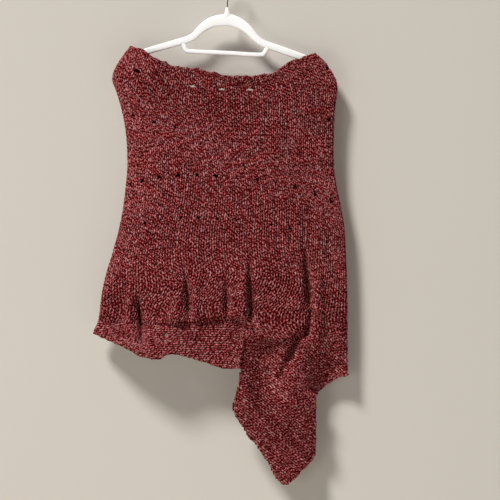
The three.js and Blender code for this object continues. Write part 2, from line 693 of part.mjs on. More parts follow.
const bodyTop = NECK_COURSE + JOIN_HALF;
const neckBottom = NECK_COURSE - JOIN_HALF;
const bodyCourses = [
  bodyTop, 9, 12.5, 17, 21.5, 26, 31, 36, 41, 45, 48.5, 51.5, 54, 56.3, 58.3, 60, 60.9, 61.35, 61.7, 62,
];
const lastCourses = bodyCourses.slice(-5);
const backBodyCourses = [bodyTop, 9, 14, 20, 26, 31, 36, 40, 43, 45.3, 46.6, 47.3, 47.7, 48];
const backLastCourses = backBodyCourses.slice(-4);

const bothSeams = { seamAt: [true, true] };
const cut = { grow: SEAM_GAP };

const frontLowest = clothWall(frontAt, frontSides, lastCourses, { ...cut, ...bothSeams });
const backLowest = clothWall(backAt, backSides, backLastCourses, { ...cut, ...bothSeams });

const leftHemAt = (u, down) => {
  const side = -1 + (sideOf(leftPieceEnd(down)) + 1) * u;
  return hemFrontAt(acrossOf(side), down, hemLeft, leftKick);
};
const rightHemAt = (u, down) => {
  const start = sideOf(rightPieceStart(down));
  return hemFrontAt(acrossOf(start + (1 - start) * u), down, hemRight, rightKick);
};

const leftSteps = [0, 0.04, 0.09, 0.14, ...steps(0.19, 1, 27)];
const rightSteps = [...steps(0, 0.84, 8), 0.9, 0.95, 1];
const leftDowns = steps(0, 1, 4);
const rightDowns = steps(0, 1, 9);

const loose = (piece) => LOOSE_STITCHES.filter((hole) => hole.piece === piece)
  .map((hole) => eyeletPlug(hole.x, hole.z, hole.wide, hole.high, 0, true));

const frontEyelets = eyeletRow(frontAt, FRONT_EYELETS, true);
const backEyelets = eyeletRow(backAt, BACK_EYELETS, false);

const neckFront = clothWall(frontAt, neckSides, [0, 0.8, 2, 4, neckBottom], bothSeams);
const neckBack = clothWall(backAt, backSides, [0, 1.5, 4, neckBottom], bothSeams);
const bodyFront = clothWall(frontAt, frontSides, bodyCourses, bothSeams);
const bodyBack = clothWall(backAt, backSides, backBodyCourses, bothSeams);
const leftHem = clothWall(leftHemAt, leftSteps, leftDowns, { seamAt: [true, false] });
const rightHem = clothWall(rightHemAt, rightSteps, rightDowns, { seamAt: [false, true] });
const backHem = clothWall(hemBackAt, backSides, steps(0, 1, 5), bothSeams);
const point = clothWall(pointAt, steps(0, 1, 15), steps(0, 1, 27));

const leftHemGrown = clothWall(leftHemAt, leftSteps, leftDowns, { ...cut, seamAt: [true, false] });
const rightHemGrown = clothWall(rightHemAt, rightSteps, rightDowns, { ...cut, seamAt: [false, true] });

/** Wire hook: straight stem, then most of a circle whose inside top is the origin. */
function hookSolid() {
  const radius = HOOK_INNER + WIRE_RADIUS;
  const points = HOOK_START.map((p) => new THREE.Vector3(p.x, 0, p.z));
  for (let degrees = -74; degrees <= 205; degrees += 15.5) {
    const angle = (degrees * Math.PI) / 180;
    points.push(new THREE.Vector3(radius * Math.cos(angle), 0, radius * Math.sin(angle) - HOOK_INNER));
  }
  const section = new THREE.Shape();
  for (let k = 0; k < 8; k += 1) {
    const angle = (Math.PI * k) / 4;
    const at = [WIRE_RADIUS * Math.cos(angle), WIRE_RADIUS * Math.sin(angle)];
    if (k === 0) section.moveTo(...at);
    else section.lineTo(...at);
  }
  section.closePath();
  const path = new THREE.CatmullRomCurve3(points, false, 'centripetal');
  return toSolid(new THREE.ExtrudeGeometry(section, { steps: 32, extrudePath: path }));
}

function hangerSolid() {
  const bar = BAR_LINE.map((p) => ({ ...p, high: BAR_HIGH }));
  const bossHeight = BOSS.top - BOSS.bottom;
  const boss = new THREE.CylinderGeometry(BOSS.topRadius, BOSS.bottomRadius, bossHeight, 16);
  boss.rotateX(Math.PI / 2);
  boss.scale(1, HANGER_THICK / (2 * BOSS.topRadius), 1);
  boss.translate(BOSS.x, 0, BOSS.bottom + bossHeight / 2);
  const hole = new THREE.CylinderGeometry(WIRE_HOLE_RADIUS, WIRE_HOLE_RADIUS, 12, 12);
  hole.rotateX(Math.PI / 2);
  hole.translate(HOOK_START[0].x, 0, HOOK_START[0].z + 5.8);
  return rod(HANGER_LINE, HANGER_THICK, true)
    .add(rod(bar, HANGER_THICK - 1, false))
    .add(toSolid(boss))
    .subtract(toSolid(hole));
}

const COLOURS = { cloth: '#682e2e', plastic: '#f4f4f2', wire: '#c9ccd0' };

const poncho = new THREE.Group();
poncho.name = 'knitted_poncho';

function add(name, solid, colour, metalness = 0) {
  const roughness = metalness ? 0.3 : 0.9;
  const material = new THREE.MeshStandardMaterial({ color: colour, roughness, metalness });
  const mesh = new THREE.Mesh(toGeometry(solid), material);
  mesh.name = name;
  poncho.add(mesh);
}

const pointCutters = [frontLowest, leftHemGrown, rightHemGrown, ...loose('border_point')];
add('neck_band_front', cutAll(neckFront, frontEyelets), COLOURS.cloth);
add('neck_band_back', cutAll(neckBack, backEyelets), COLOURS.cloth);
add('body_front', cutAll(bodyFront, [...frontEyelets, ...loose('body_front')]), COLOURS.cloth);
add('body_back', cutAll(bodyBack, backEyelets), COLOURS.cloth);
add('border_left', cutAll(leftHem, [frontLowest, ...loose('border_left')]), COLOURS.cloth);
add('border_right', cutAll(rightHem, [frontLowest]), COLOURS.cloth);
add('border_back', cutAll(backHem, [backLowest]), COLOURS.cloth);
add('border_point', cutAll(point, pointCutters), COLOURS.cloth);
add('hanger', hangerSolid(), COLOURS.plastic);
add('hanger_hook', hookSolid(), COLOURS.wire, 1);

export default poncho;
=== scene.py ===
"""Knitted poncho on a moulded hanger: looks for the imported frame."""
import math

import bpy
import numpy as np
from bpy.props import FloatProperty, FloatVectorProperty, IntProperty, PointerProperty
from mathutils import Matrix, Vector


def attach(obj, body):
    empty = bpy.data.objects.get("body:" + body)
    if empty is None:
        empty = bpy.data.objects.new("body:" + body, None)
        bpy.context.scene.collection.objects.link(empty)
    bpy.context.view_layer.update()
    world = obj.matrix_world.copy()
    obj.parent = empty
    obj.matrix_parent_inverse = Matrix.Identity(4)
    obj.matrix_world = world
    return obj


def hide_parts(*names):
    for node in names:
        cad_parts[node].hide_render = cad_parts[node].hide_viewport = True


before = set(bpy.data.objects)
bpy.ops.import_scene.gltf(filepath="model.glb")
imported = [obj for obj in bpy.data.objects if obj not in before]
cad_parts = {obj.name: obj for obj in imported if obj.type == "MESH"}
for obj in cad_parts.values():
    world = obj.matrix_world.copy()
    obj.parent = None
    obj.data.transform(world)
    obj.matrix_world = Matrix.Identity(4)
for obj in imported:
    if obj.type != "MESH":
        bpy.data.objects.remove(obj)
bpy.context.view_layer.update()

bl_info = {
    "name": "Knitted poncho",
    "version": (1, 0, 0),
    "blender": (4, 5, 0),
    "location": "View3D > Sidebar > Poncho",
    "description": "Chunky knitted poncho in marl yarn, hanging on a moulded hanger",
    "category": "Object",
}

MM = 0.001

# Everything below is in millimetres, +X to the viewer's right, the front facing -Y.
# Side edges of the flattened tube: height, left, right.
OUTLINE = [
    (-139, -196.1, 152.4), (-154, -209.6, 174.8), (-165, -217.7, 189.1), (-177, -225.4, 201.2),
    (-189, -231.7, 209.3), (-200, -235.6, 215.5), (-210, -236.8, 220.5), (-220, -233.5, 223.1),
    (-233, -228.4, 223.9), (-249, -223.2, 221.2), (-272, -216.9, 218.4), (-303, -210.6, 216.6),
    (-344, -206.2, 215.6), (-385, -205.2, 216.0), (-426, -208.3, 221.1), (-468, -213.2, 230.0),
    (-519, -223.1, 238.3), (-571, -237.2, 241.0), (-612, -249.7, 242.8), (-653, -258.6, 243.8),
    (-704, -265.2, 244.4), (-733, -275.2, 244.5), (-860, -275.2, 244.9),
]
# Courses: number, height at the left edge, the middle and the right edge, depth, squareness.
FRONT_COURSES = [
    (0, -138, -203.8, -152, 33, 4.2), (5, -168, -231, -187, 31, 4.4),
    (15, -272, -318, -288, 25, 4.6), (26, -430, -412, -470, 26, 4.6),
    (37, -526, -499.5, -568, 30, 4.4), (50, -622, -605, -655, 33, 4),
    (62, -708.5, -717.75, -727, 33.5, 4),
]
BACK_COURSES = [
    (0, -138, -249, -152, 24, 3), (5, -168, -272, -187, 24, 3), (15, -272, -344, -288, 23, 3.2),
    (26, -430, -424, -470, 24, 3.6), (37, -526, -508, -568, 26, 4), (48, -634, -632, -688, 28, 4),
]
NECK_SAG = [
    (0, 0), (0.051, 6.4), (0.085, 11.9), (0.118, 22.8), (0.163, 30), (0.213, 37.2), (0.269, 42),
    (0.336, 42.8), (0.431, 48.6), (0.52, 56), (0.643, 54.5), (0.777, 45), (0.805, 36),
    (0.878, 18.7), (0.917, 13), (1, 0),
]
# Gathered seam: share of the width, height above a straight line, overhang of the body.
SEAM_LINE = [
    (0, 0, 0), (0.125, -2.8, 0), (0.246, -2.6, 3), (0.347, 3.3, 12), (0.408, 7.6, 13),
    (0.497, 12.3, 12), (0.549, 14.3, 12), (0.582, 7, 10), (0.618, -11, 6), (0.655, -21, 3),
    (0.74, -24, 0), (0.833, -17, 0), (0.913, -7, 0), (1, 0, 0),
]
HEM_LEFT = [
    (0, -733.3), (0.068, -746.9), (0.125, -760), (0.185, -774.5), (0.232, -782.7),
    (0.261, -783.3), (0.288, -774.8), (0.307, -772.4), (0.379, -780.6), (0.434, -788.9),
    (0.486, -799.2), (0.51, -802.5), (0.62, -803.7),
]
HEM_RIGHT = [
    (0.79, -856.6), (0.835, -855.8), (0.882, -853.8), (0.902, -846.1), (0.926, -836.3),
    (0.964, -824.7), (1, -817),
]
HEM_BACK = [(0, -730), (0.2, -724), (0.45, -718), (0.65, -722), (0.82, -752), (1, -792)]
LEFT_PIECE_END = [(0, 0.603), (1, 0.579)]
RIGHT_PIECE_START = [
    (0, 0.8414), (0.125, 0.8304), (0.34, 0.817), (0.43, 0.808), (0.61, 0.8094), (0.84, 0.8193),
    (1, 0.834),
]
POINT_EDGES = [
    (-741, 36.4, 175), (-756, 34.0, 171), (-768, 31.6, 162), (-776.5, 30.4, 155),
    (-782, 29.2, 149.4), (-791, 27.4, 144.6), (-811.5, 24.7, 145), (-832, 22.7, 149),
    (-850, 17.6, 158), (-855.5, 16.6, 183), (-869, 13.8, 182.7), (-879.5, 9.3, 181.9),
    (-896, 13.8, 181.5), (-925, 31.7, 180.7), (-941, 39.5, 180.3), (-952, 53, 180.1),
    (-968, 63, 180.4), (-980, 71, 179.8), (-987, 75.6, 175.5), (-1001, 85.3, 163.6),
    (-1022, 94.3, 144.2), (-1041.5, 112.5, 124.5),
]
# Folds: from (x, z) to (x, z), half width, depth into the garment, fade at the ends. They are
# sharper than those of the solids that they stand for.
FRONT_FOLDS = [
    (-186, -644, -173, -762, 7, 25, 34), (-199, -625, -205, -738, 9, -14, 45),
    (-225, -600, -215, -752, 60, 26, 85), (-92, -570, -74, -716, 8, 24, 95),
    (-103, -640, -106, -716, 12, -12, 40), (-66, -590, -66, -714, 8, -10, 70),
    (-4, -600, 0, -710, 8, 18, 70), (12, -600, 12, -710, 9, -10, 70),
    (43, -535, 49, -726, 9, 18.5, 140), (32, -570, 33, -716, 10, -12, 80),
    (153, -515, 173, -706, 9, 24, 130), (174, -670, 160, -752, 9, 20, 35),
    (154, -722, 100, -845, 11, 16, 28), (142, -724, 122, -800, 17, 12, 24),
    (186, -570, 182, -780, 13, -12, 70), (136, -560, 150, -700, 12, -6, 80),
    (30, -350, 30, -645, 95, -6, 120),
]
BACK_FOLDS = [
    (-150, -520, -160, -660, 8, 13, 45), (-70, -570, -62, -665, 8, 11, 35),
    (10, -500, 12, -665, 9, 13, 60), (95, -560, 104, -690, 8, 11, 40),
    (178, -540, 172, -700, 9, 13, 50), (0, -330, 0, -640, 110, -6, 120),
]
# Slanting waves of the hanging point: place across the slant, half width, depth.
POINT_WAVES = [(2, 9, 6), (23, 12, -11), (50, 13, 12), (88, 14, -10), (118, 12, 6)]
# Eyelets: course, places across, width, height.
FRONT_EYELETS = [
    (5.6, (-185.5,), 12.5, 5.8), (4, (155,), 13, 7), (5, (-72.1, -12.4, 45.3), 12, 3.4),
    (5, (-129.8, 100.9), 4.6, 2.4),
    (4.6, (204.5,), 9, 9), (15, (-193.6, -151.4, -109.2, 208.1), 6, 5), (17.3, (-152.4,), 5, 4.6),
    (23, (-185.4, 33), 5, 4.6),
    (26, (-176.5, -140.7, -102.2, -63, -24.5, 61.2, 139, 179.2, 211.6), 7.5, 6.4),
    (26, (-198.5, 18.5, 97), 5, 4.6),
    (37, (-207, -170.6, -97, -59.5, -21.8, 89.4, 128.8, 166.9), 6, 5),
    (37, (-135.5, 17.7, 51.1, 202.3, 232), 4.6, 4.2),
]
BACK_EYELETS = [
    (5, (-176, -118, -60, -2, 56, 114, 168), 12, 5.6),
    (28, (-186, -148, -110, -72, -34, 4, 42, 80, 118, 156, 192), 7.5, 6.4),
    (39, (-200, -162, -124, -86, -48, -10, 28, 66, 104, 142, 180, 214), 7.5, 6.4),
]
# Loose stitches: x, z, width, height.
LOOSE_BODY = (55.6, -727.5, 5, 6.4)
LOOSE_LEFT = (-125.6, -733.3, 5.6, 9.5)
LOOSE_POINT = [(80.3, -810, 4.8, 7), (34, -866, 4.8, 4.8)]

# Hanger: centre line with its height, then the bar, the boss and the hook's stem.
HANGER_LINE = [
    (-201.6, -161.5, 13), (-144.2, -144.2, 13.6), (-103, -132.5, 14.4), (-82.4, -126.2, 14.8),
    (-70, -119.8, 14.6), (-59, -108.5, 16.2), (-46, -98.1, 19.6), (-26, -89, 22.8), (0, -86.4, 25.2),
    (18, -91.2, 23.2), (33, -99.7, 20.5), (45, -110.2, 17.8), (57, -123.6, 15.2), (70, -133.4, 14.8),
    (103, -145.5, 15.1), (184, -174.6, 13.6),
]
BAR_LINE = [
    (-93.5, -131), (-90.6, -139), (-86.5, -148.5), (-83, -150.6), (-8, -154.3), (66, -158.3),
    (71.5, -157.9), (76.5, -152), (82, -142),
]
# Boss: height, half width, half depth.
BOSS = [
    (-82, 10.5, 2.2), (-78, 8.4, 3.2), (-75, 6.9, 3.7), (-71, 5.4, 3.9), (-67, 4.4, 3.7),
    (-63.6, 3.6, 3.4), (-61.6, 3.3, 3.1), (-60.8, 2.5, 2.3),
]
BOSS_X = -1.5
STEM_LINE = [(-1.3, -70), (-1.3, -64), (-1.3, -58), (-1.2, -48.5), (0.8, -43.6)]
HANGER_THICK = 6
BAR_HIGH = 9
WIRE_RADIUS = 1.5
HOOK_INNER = 20

# Pitch of the hems' stitches across and of all courses down.
WALE, COURSE = 9.4, 8.2
SEAM_COURSE, BACK_SEAM_COURSE = 62, 48
NECK_START, NECK_ROWS = 0.9, 6.4
SEAM_GAP = 0.3
HEM_LAP = 1.6  # a hem starts this far above its seam
NECK_ROLL, SHOULDER_FULL, BACK_OVERHANG = 7, 9, 8
POINT_TOP, POINT_LONG, POINT_START, POINT_WIDE = -741, 300.5, 5, 180
POINT_SLANT, POINT_CORNER = 46, (9.3, -879.5)
POINT_TILT, POINT_TURNED, POCKET = 11, 3.5, 26  # depths of its lower end, right edge and pocket
POINT_FREE = (-801, -855)  # rows where its left and right edges come out from under the hems
POINT_UNDER, POINT_BACK = 14, 5  # how far it runs on under a hem, and how far behind
STITCH_SWAY, STITCH_RISE = 0.18, 0.78  # of a stitch, along its row and across it
STITCH_STEPS = 10  # points along the yarn for each stitch
HOLE_ROOM = 1.9  # the yarn's centre stays this far outside a hole's edge
GROUND_ROOM = 1.2  # and the ground this far
GROUND_SUNK, GROUND_THICK = 0.2, 1.0
ROW_SHIFT = 1530.7  # moves each row's flecks along, so that rows differ
TINY = 1e-12


def curve(rows, column=1):
    """Cubic through a table's first column and one more, with the slope at each row the harmonic
    mean of the slopes beside it, so that it never overshoots."""
    table = np.array(sorted(map(tuple, rows)), float)
    at, value = table[:, 0], table[:, column]
    slope = np.diff(value) / np.diff(at)
    product = slope[:-1] * slope[1:]
    total = np.where(product > 0, slope[:-1] + slope[1:], 1)
    tangent = np.concatenate([slope[:1], np.where(product > 0, 2 * product / total, 0), slope[-1:]])

    def look(wanted):
        q = np.clip(wanted, at[0], at[-1])
        i = np.clip(np.searchsorted(at, q, side="right") - 1, 0, len(at) - 2)
        step = at[i + 1] - at[i]
        t = (q - at[i]) / step
        low = (1 + 2 * t) * (1 - t) ** 2 * value[i] + t * (1 - t) ** 2 * step * tangent[i]
        return low + t * t * (3 - 2 * t) * value[i + 1] + t * t * (t - 1) * step * tangent[i + 1]

    return look


def ease(value, low, high):
    """From 0 to 1 as the value goes from low to high, by 3t squared less 2t cubed."""
    t = np.clip((np.asarray(value, float) - low) / (high - low), 0, 1)
    return t * t * (3 - 2 * t)


def bell(value, centre, half):
    """One at the centre, falling to both sides by e to the less square."""
    return np.exp(-(((value - centre) / half) ** 2))


def unit(vectors):
    """Vectors over their own lengths."""
    return vectors / np.maximum(np.linalg.norm(vectors, axis=-1, keepdims=True), TINY)


def lengths(points):
    """Length summed along each line of points, from 0 at its start."""
    steps = np.linalg.norm(np.diff(points, axis=-2), axis=-1)
    return np.concatenate([np.zeros_like(steps[..., :1]), np.cumsum(steps, axis=-1)], axis=-1)


outline_left, outline_right = curve(OUTLINE, 1), curve(OUTLINE, 2)
neck_sag = curve(NECK_SAG)
seam_up, seam_out = curve(SEAM_LINE, 1), curve(SEAM_LINE, 2)
hem_left, hem_right, hem_back = curve(HEM_LEFT), curve(HEM_RIGHT), curve(HEM_BACK)
left_piece_end, right_piece_start = curve(LEFT_PIECE_END), curve(RIGHT_PIECE_START)
point_left, point_right = curve(POINT_EDGES, 1), curve(POINT_EDGES, 2)
FRONT = [curve(FRONT_COURSES, k) for k in range(1, 6)]
BACK = [curve(BACK_COURSES, k) for k in range(1, 6)]


def across_of(side):
    """Share of the width for an even step round the section: half of one plus a sine."""
    return (1 + np.sin(np.pi * side / 2)) / 2


def side_of(across):
    """The even step round the section for a share of the width: the inverse of across_of."""
    return 2 / np.pi * np.arcsin(np.clip(2 * across - 1, -1, 1))


def spread(across, left, right):
    """Place across at a share of the way between the outline's edges at two heights."""
    return outline_left(left) + (outline_right(right) - outline_left(left)) * across


def fold_depth(folds, x, z):
    """Sum of troughs: each a bell across its line, eased in and out along it, narrow at its top."""
    total = 0.0
    for x1, z1, x2, z2, half, depth, fade in folds:
        down = (z1 - z) / (z1 - z2)
        share = fade / (z1 - z2)
        along = ease(down, 0, share) * (1 - ease(down, 1 - min(share, 0.26), 1))
        wide = half * (0.5 + 0.55 * ease(down, 0, 0.75))
        total = total + depth * along * bell(x, x1 + (x2 - x1) * np.clip(down, 0, 1), wide)
    return total


def section_depth(across, depth, square):
    """Half of a squared oval: depth times the root of one less the edge share to a power."""
    return depth * np.sqrt(np.clip(1 - np.abs(2 * across - 1) ** square, 0, 1))


def side_roll(across):
    """The front turns back a little early towards the right side seam."""
    return 11 * ease(across, 0.76, 0.98)


def seam_share(across):
    """One in the middle and nothing at the side seams."""
    return np.clip(1 - np.abs(2 * across - 1) ** 8, 0, 1)


def seam_front(across):
    """Height of the front's gathered seam."""
    left, right = FRONT[0](SEAM_COURSE), FRONT[2](SEAM_COURSE)
    return left + (right - left) * across + seam_up(across)


def seam_back(across):
    """Height of the back's seam: a line between its ends with a flat arch on it."""
    _, straight, rise, _, _ = course_at(BACK, across, BACK_SEAM_COURSE, 2.3)
    return straight + rise


def overhang(above):
    """How far cloth hangs out at a height above its seam: a quarter sine up, then eased away."""
    above = np.maximum(above, 0)
    return np.sin(np.pi / 2 * np.minimum(above / 10, 1)) * (1 - ease(above, 10, 130))


def course_at(looks, across, course, bow):
    """A course of one side: places across, heights of a straight line between its ends, rise of
    its arch over that line, the arch alone, which is one less the edge share to the power bow,
    and the section's depth."""
    left, middle, right, depth, square = (look(course) for look in looks)
    arch = 1 - np.abs(2 * across - 1) ** bow
    straight = left + (right - left) * across
    rise = (middle - (left + right) / 2) * arch
    return spread(across, left, right), straight, rise, arch, section_depth(across, depth, square)


def front_at(side, course):
    """Front of the tube: across by the outline, down by the courses, out by the squared oval,
    with the folds pressed in, the lowest courses hanging out over their seam, the neck edge
    rolled forward and both shoulders full."""
    across = across_of(side)
    at_neck = 1 - ease(course, 0, 5)
    x, straight, rise, _, out = course_at(FRONT, across, course, 2.4 + 0.6 * ease(course, 5, 26))
    z = straight + rise * (1 - at_neck) - neck_sag(across) * at_neck
    z = z + seam_up(across) * ease(course, 46, SEAM_COURSE)
    y = (fold_depth(FRONT_FOLDS, x, z) + side_roll(across)) * seam_share(across) - out
    y = y - seam_out(across) * overhang(z - seam_front(across))
    y = y - NECK_ROLL * at_neck**2 * np.maximum(1 - ((across - 0.53) / 0.33) ** 2, 0)
    y = y - SHOULDER_FULL * (1 - ease(course, 0, 10)) * bell(np.abs(2 * across - 1), 0.72, 0.17)
    return np.stack([x, y - SEAM_GAP / 2, z], -1)


def back_at(side, course):
    """Back of the tube, the same way, folded and gathered less."""
    across = across_of(side)
    x, straight, rise, arch, out = course_at(BACK, across, course, 2.3)
    z = straight + rise
    y = out - fold_depth(BACK_FOLDS, x, z) * seam_share(across)
    y = y + BACK_OVERHANG * arch * overhang(z - seam_back(across))
    return np.stack([x, y + SEAM_GAP / 2, z], -1)


def lower_front(x, z):
    """Depth of the lower front at a place seen from the front: oval section and folds."""
    left = outline_left(z)
    across = np.clip((x - left) / (outline_right(z) - left), 0, 1)
    section = section_depth(across, FRONT[3](SEAM_COURSE), FRONT[4](SEAM_COURSE))
    relief = fold_depth(FRONT_FOLDS, x, z) + side_roll(across)
    return relief * seam_share(across) - section - SEAM_GAP / 2


def lower_back(x, z, across):
    """Depth of the lower back, the same way."""
    section = section_depth(across, BACK[3](BACK_SEAM_COURSE), BACK[4](BACK_SEAM_COURSE))
    return section - fold_depth(BACK_FOLDS, x, z) * seam_share(across) + SEAM_GAP / 2


def hem_place(across, down, seam, hem):
    """Place across and height in a hem: straight down from its seam to its lower edge."""
    top = seam(across) + HEM_LAP
    z = top + (hem(across) - top) * down
    return spread(across, z, z), z


def hem_front(across, down, hem, kick):
    """Hem of the front, at the lower front's depth, kicked out or tucked in."""
    x, z = hem_place(across, down, seam_front, hem)
    return np.stack([x, lower_front(x, z) + kick(across, down) * seam_share(across), z], -1)


def left_kick(across, down):
    """The left hem swings out to the front, most near the side."""
    side = ease(across, 0, 0.08) * (1 - 0.75 * ease(across, 0.26, 0.44))
    return -25.7 * down * side * (1 - ease(across, 0.5, 0.6))


def right_kick(across, down):
    """The right hem tucks in at its lower edge and laps over the pocket at its start."""
    tuck = 42 * ease(down, 0.22, 1.15) * ease(across, 0.82, 0.9)
    return tuck - 6 * (1 - ease(across, 0.815, 0.87)) * (1 - ease(down, 0.28, 0.5))


def hem_left_at(u, down):
    """Left hem: from the side seam to its own slanting end."""
    side = -1 + (side_of(left_piece_end(down)) + 1) * u
    return hem_front(across_of(side), down, hem_left, left_kick)


def hem_right_at(u, down):
    """Right hem: from its own curved start to the side seam."""
    start = side_of(right_piece_start(down))
    return hem_front(across_of(start + (1 - start) * u), down, hem_right, right_kick)


def hem_back_at(u, down):
    """Hem of the back, from side seam to side seam at the lower back's depth."""
    across = across_of(2 * u - 1)
    x, z = hem_place(across, down, seam_back, hem_back)
    return np.stack([x, lower_back(x, z, across), z], -1)


def point_at(x, row):
    """Hanging point at a place across and a row: the lower front's depth with slanting waves,
    a pocket behind the fold, a turned edge, and the top row following the gathered seam."""
    left = outline_left(row)
    lift = seam_front((x - left) / (outline_right(row) - left)) + HEM_LAP - POINT_TOP
    z = row + lift * (1 - ease((POINT_TOP - row) / POINT_LONG, 0, 0.16))
    slant = math.radians(POINT_SLANT)
    inward = (x - POINT_CORNER[0]) * math.sin(slant) + (z - POINT_CORNER[1]) * math.cos(slant)
    relief = sum(depth * bell(inward, at, half) for at, half, depth in POINT_WAVES)
    relief = relief * ease(-z, 835, 885) + POINT_TILT * ease(-z, 835, 1040)
    relief = relief + POINT_TURNED * np.exp(-((point_right(row) - x) / 9)) * ease(-z, 880, 900)
    pocket = (0.3 + 0.7 * ease(x, 30, 72)) * (1 - ease(x, 80, 128))
    relief = relief + POCKET * pocket * ease(-z, 728, 775) * (1 - ease(-z, 838, 925))
    return np.stack([x, lower_front(x, z) + relief, z], -1)


class Flat:
    """A piece of cloth laid flat, with u across it and v down it in millimetres. place gives
    where a flat point hangs, inside tells whether it is on the cloth, out is 1 where the outward
    side is to the right of u turned towards v, otherwise -1."""

    def __init__(self, place, inside, wide, tall, out):
        self.place, self.inside, self.wide, self.tall, self.out = place, inside, wide, tall, out

    def at(self, u, v):
        """Places and outward directions: the cross product of small steps along u and v."""
        nudge = 0.05
        here = self.place(u, v)
        left, right = np.maximum(u - nudge, 0), np.minimum(u + nudge, self.wide)
        du = self.place(right, v) - self.place(left, v)
        dv = self.place(u, v + nudge) - self.place(u, v - nudge)
        return here, unit(np.cross(du, dv) * self.out)


def tube_flat(surface, first, last, out):
    """Flat cloth for one side of the tube, as wide as its courses' mean length. u over that width
    is a share of a course's own length, looked up in a table of lengths summed along courses."""
    sides, courses = np.linspace(-1, 1, 601), np.linspace(first, last, 90)
    run = lengths(surface(sides[None, :], courses[:, None]))
    wide = run[:, -1].mean()
    shares = np.linspace(0, 1, 801)
    table = np.array([np.interp(shares, row / row[-1], sides) for row in run])
    last_share, last_row = len(shares) - 1, len(courses) - 1
    step = (last - first) / last_row

    def place(u, v):
        u, v = np.broadcast_arrays(u, v)
        a = np.clip(u / wide, 0, 1) * last_share
        b = np.clip((v / COURSE - first) / step, 0, last_row)
        i, j = np.minimum(a.astype(int), last_share - 1), np.minimum(b.astype(int), last_row - 1)
        s, t = a - i, b - j
        side = (table[j, i] * (1 - s) + table[j, i + 1] * s) * (1 - t)
        side = side + (table[j + 1, i] * (1 - s) + table[j + 1, i + 1] * s) * t
        return surface(side, v / COURSE)

    return Flat(place, lambda u, v: (u >= 0) & (u <= wide), wide, last * COURSE, out)


def hem_flat(surface, out, margin):
    """Flat cloth for a hem: u is the length summed along its middle, and v the share down times
    the length of that column, so stitches keep their size where the hem gets narrow."""
    shares, downs = np.linspace(0, 1, 401), np.linspace(0, 1, 41)
    run = lengths(surface(shares, np.full_like(shares, 0.5)))
    tall = lengths(surface(shares[:, None], downs[None, :]))[:, -1]
    wide = run[-1]

    def column(u):
        return np.interp(u, run, tall)

    def place(u, v):
        return surface(np.interp(u, run, shares), np.clip(v / column(u), 0, 1))

    def inside(u, v):
        return (u >= 0) & (u <= wide) & (v >= 0) & (v <= column(u) - margin)

    flat = Flat(place, inside, wide, tall.max(), out)
    flat.column = column
    return flat


def under_hems(x, z):
    """How far a place on the front lies inside the outline of the left or right hem, in
    millimetres: the smaller of the distances to its lower edge and to its end."""
    left = outline_left(z)
    wide = outline_right(z) - left
    across = (x - left) / wide
    top = seam_front(across) + HEM_LAP
    low_left, low_right = hem_left(across), hem_right(np.maximum(across, HEM_RIGHT[0][0]))
    end = left_piece_end(np.clip((top - z) / (top - low_left), 0, 1))
    start = right_piece_start(np.clip((top - z) / (top - low_right), 0, 1))
    in_left = np.minimum(z - low_left, (end - across) * wide)
    return np.maximum(in_left, np.minimum(z - low_right, (across - start) * wide))


def point_flat(margin):
    """Flat cloth for the hanging point: u across and v down as seen from the front. It runs on
    under the hems' ends, set back behind them."""

    def place(u, v):
        point = point_at(u + POINT_START, POINT_TOP - v)
        back = POINT_BACK * ease(under_hems(point[..., 0], point[..., 2]), 0, 8)
        return point + back[..., None] * np.array([0, 1, 0])

    def inside(u, v):
        x, row = u + POINT_START, POINT_TOP - v
        left = point_left(row) + np.where(row > POINT_FREE[0], -POINT_UNDER, margin)
        right = point_right(row) - np.where(row > POINT_FREE[1], -POINT_UNDER, margin)
        on = (x > left) & (x < right) & (v >= 0) & (v <= POINT_LONG - margin * 0.5)
        return on & (under_hems(x, place(u, v)[..., 2]) < 11 - margin)

    return Flat(place, inside, POINT_WIDE, POINT_LONG, -1)


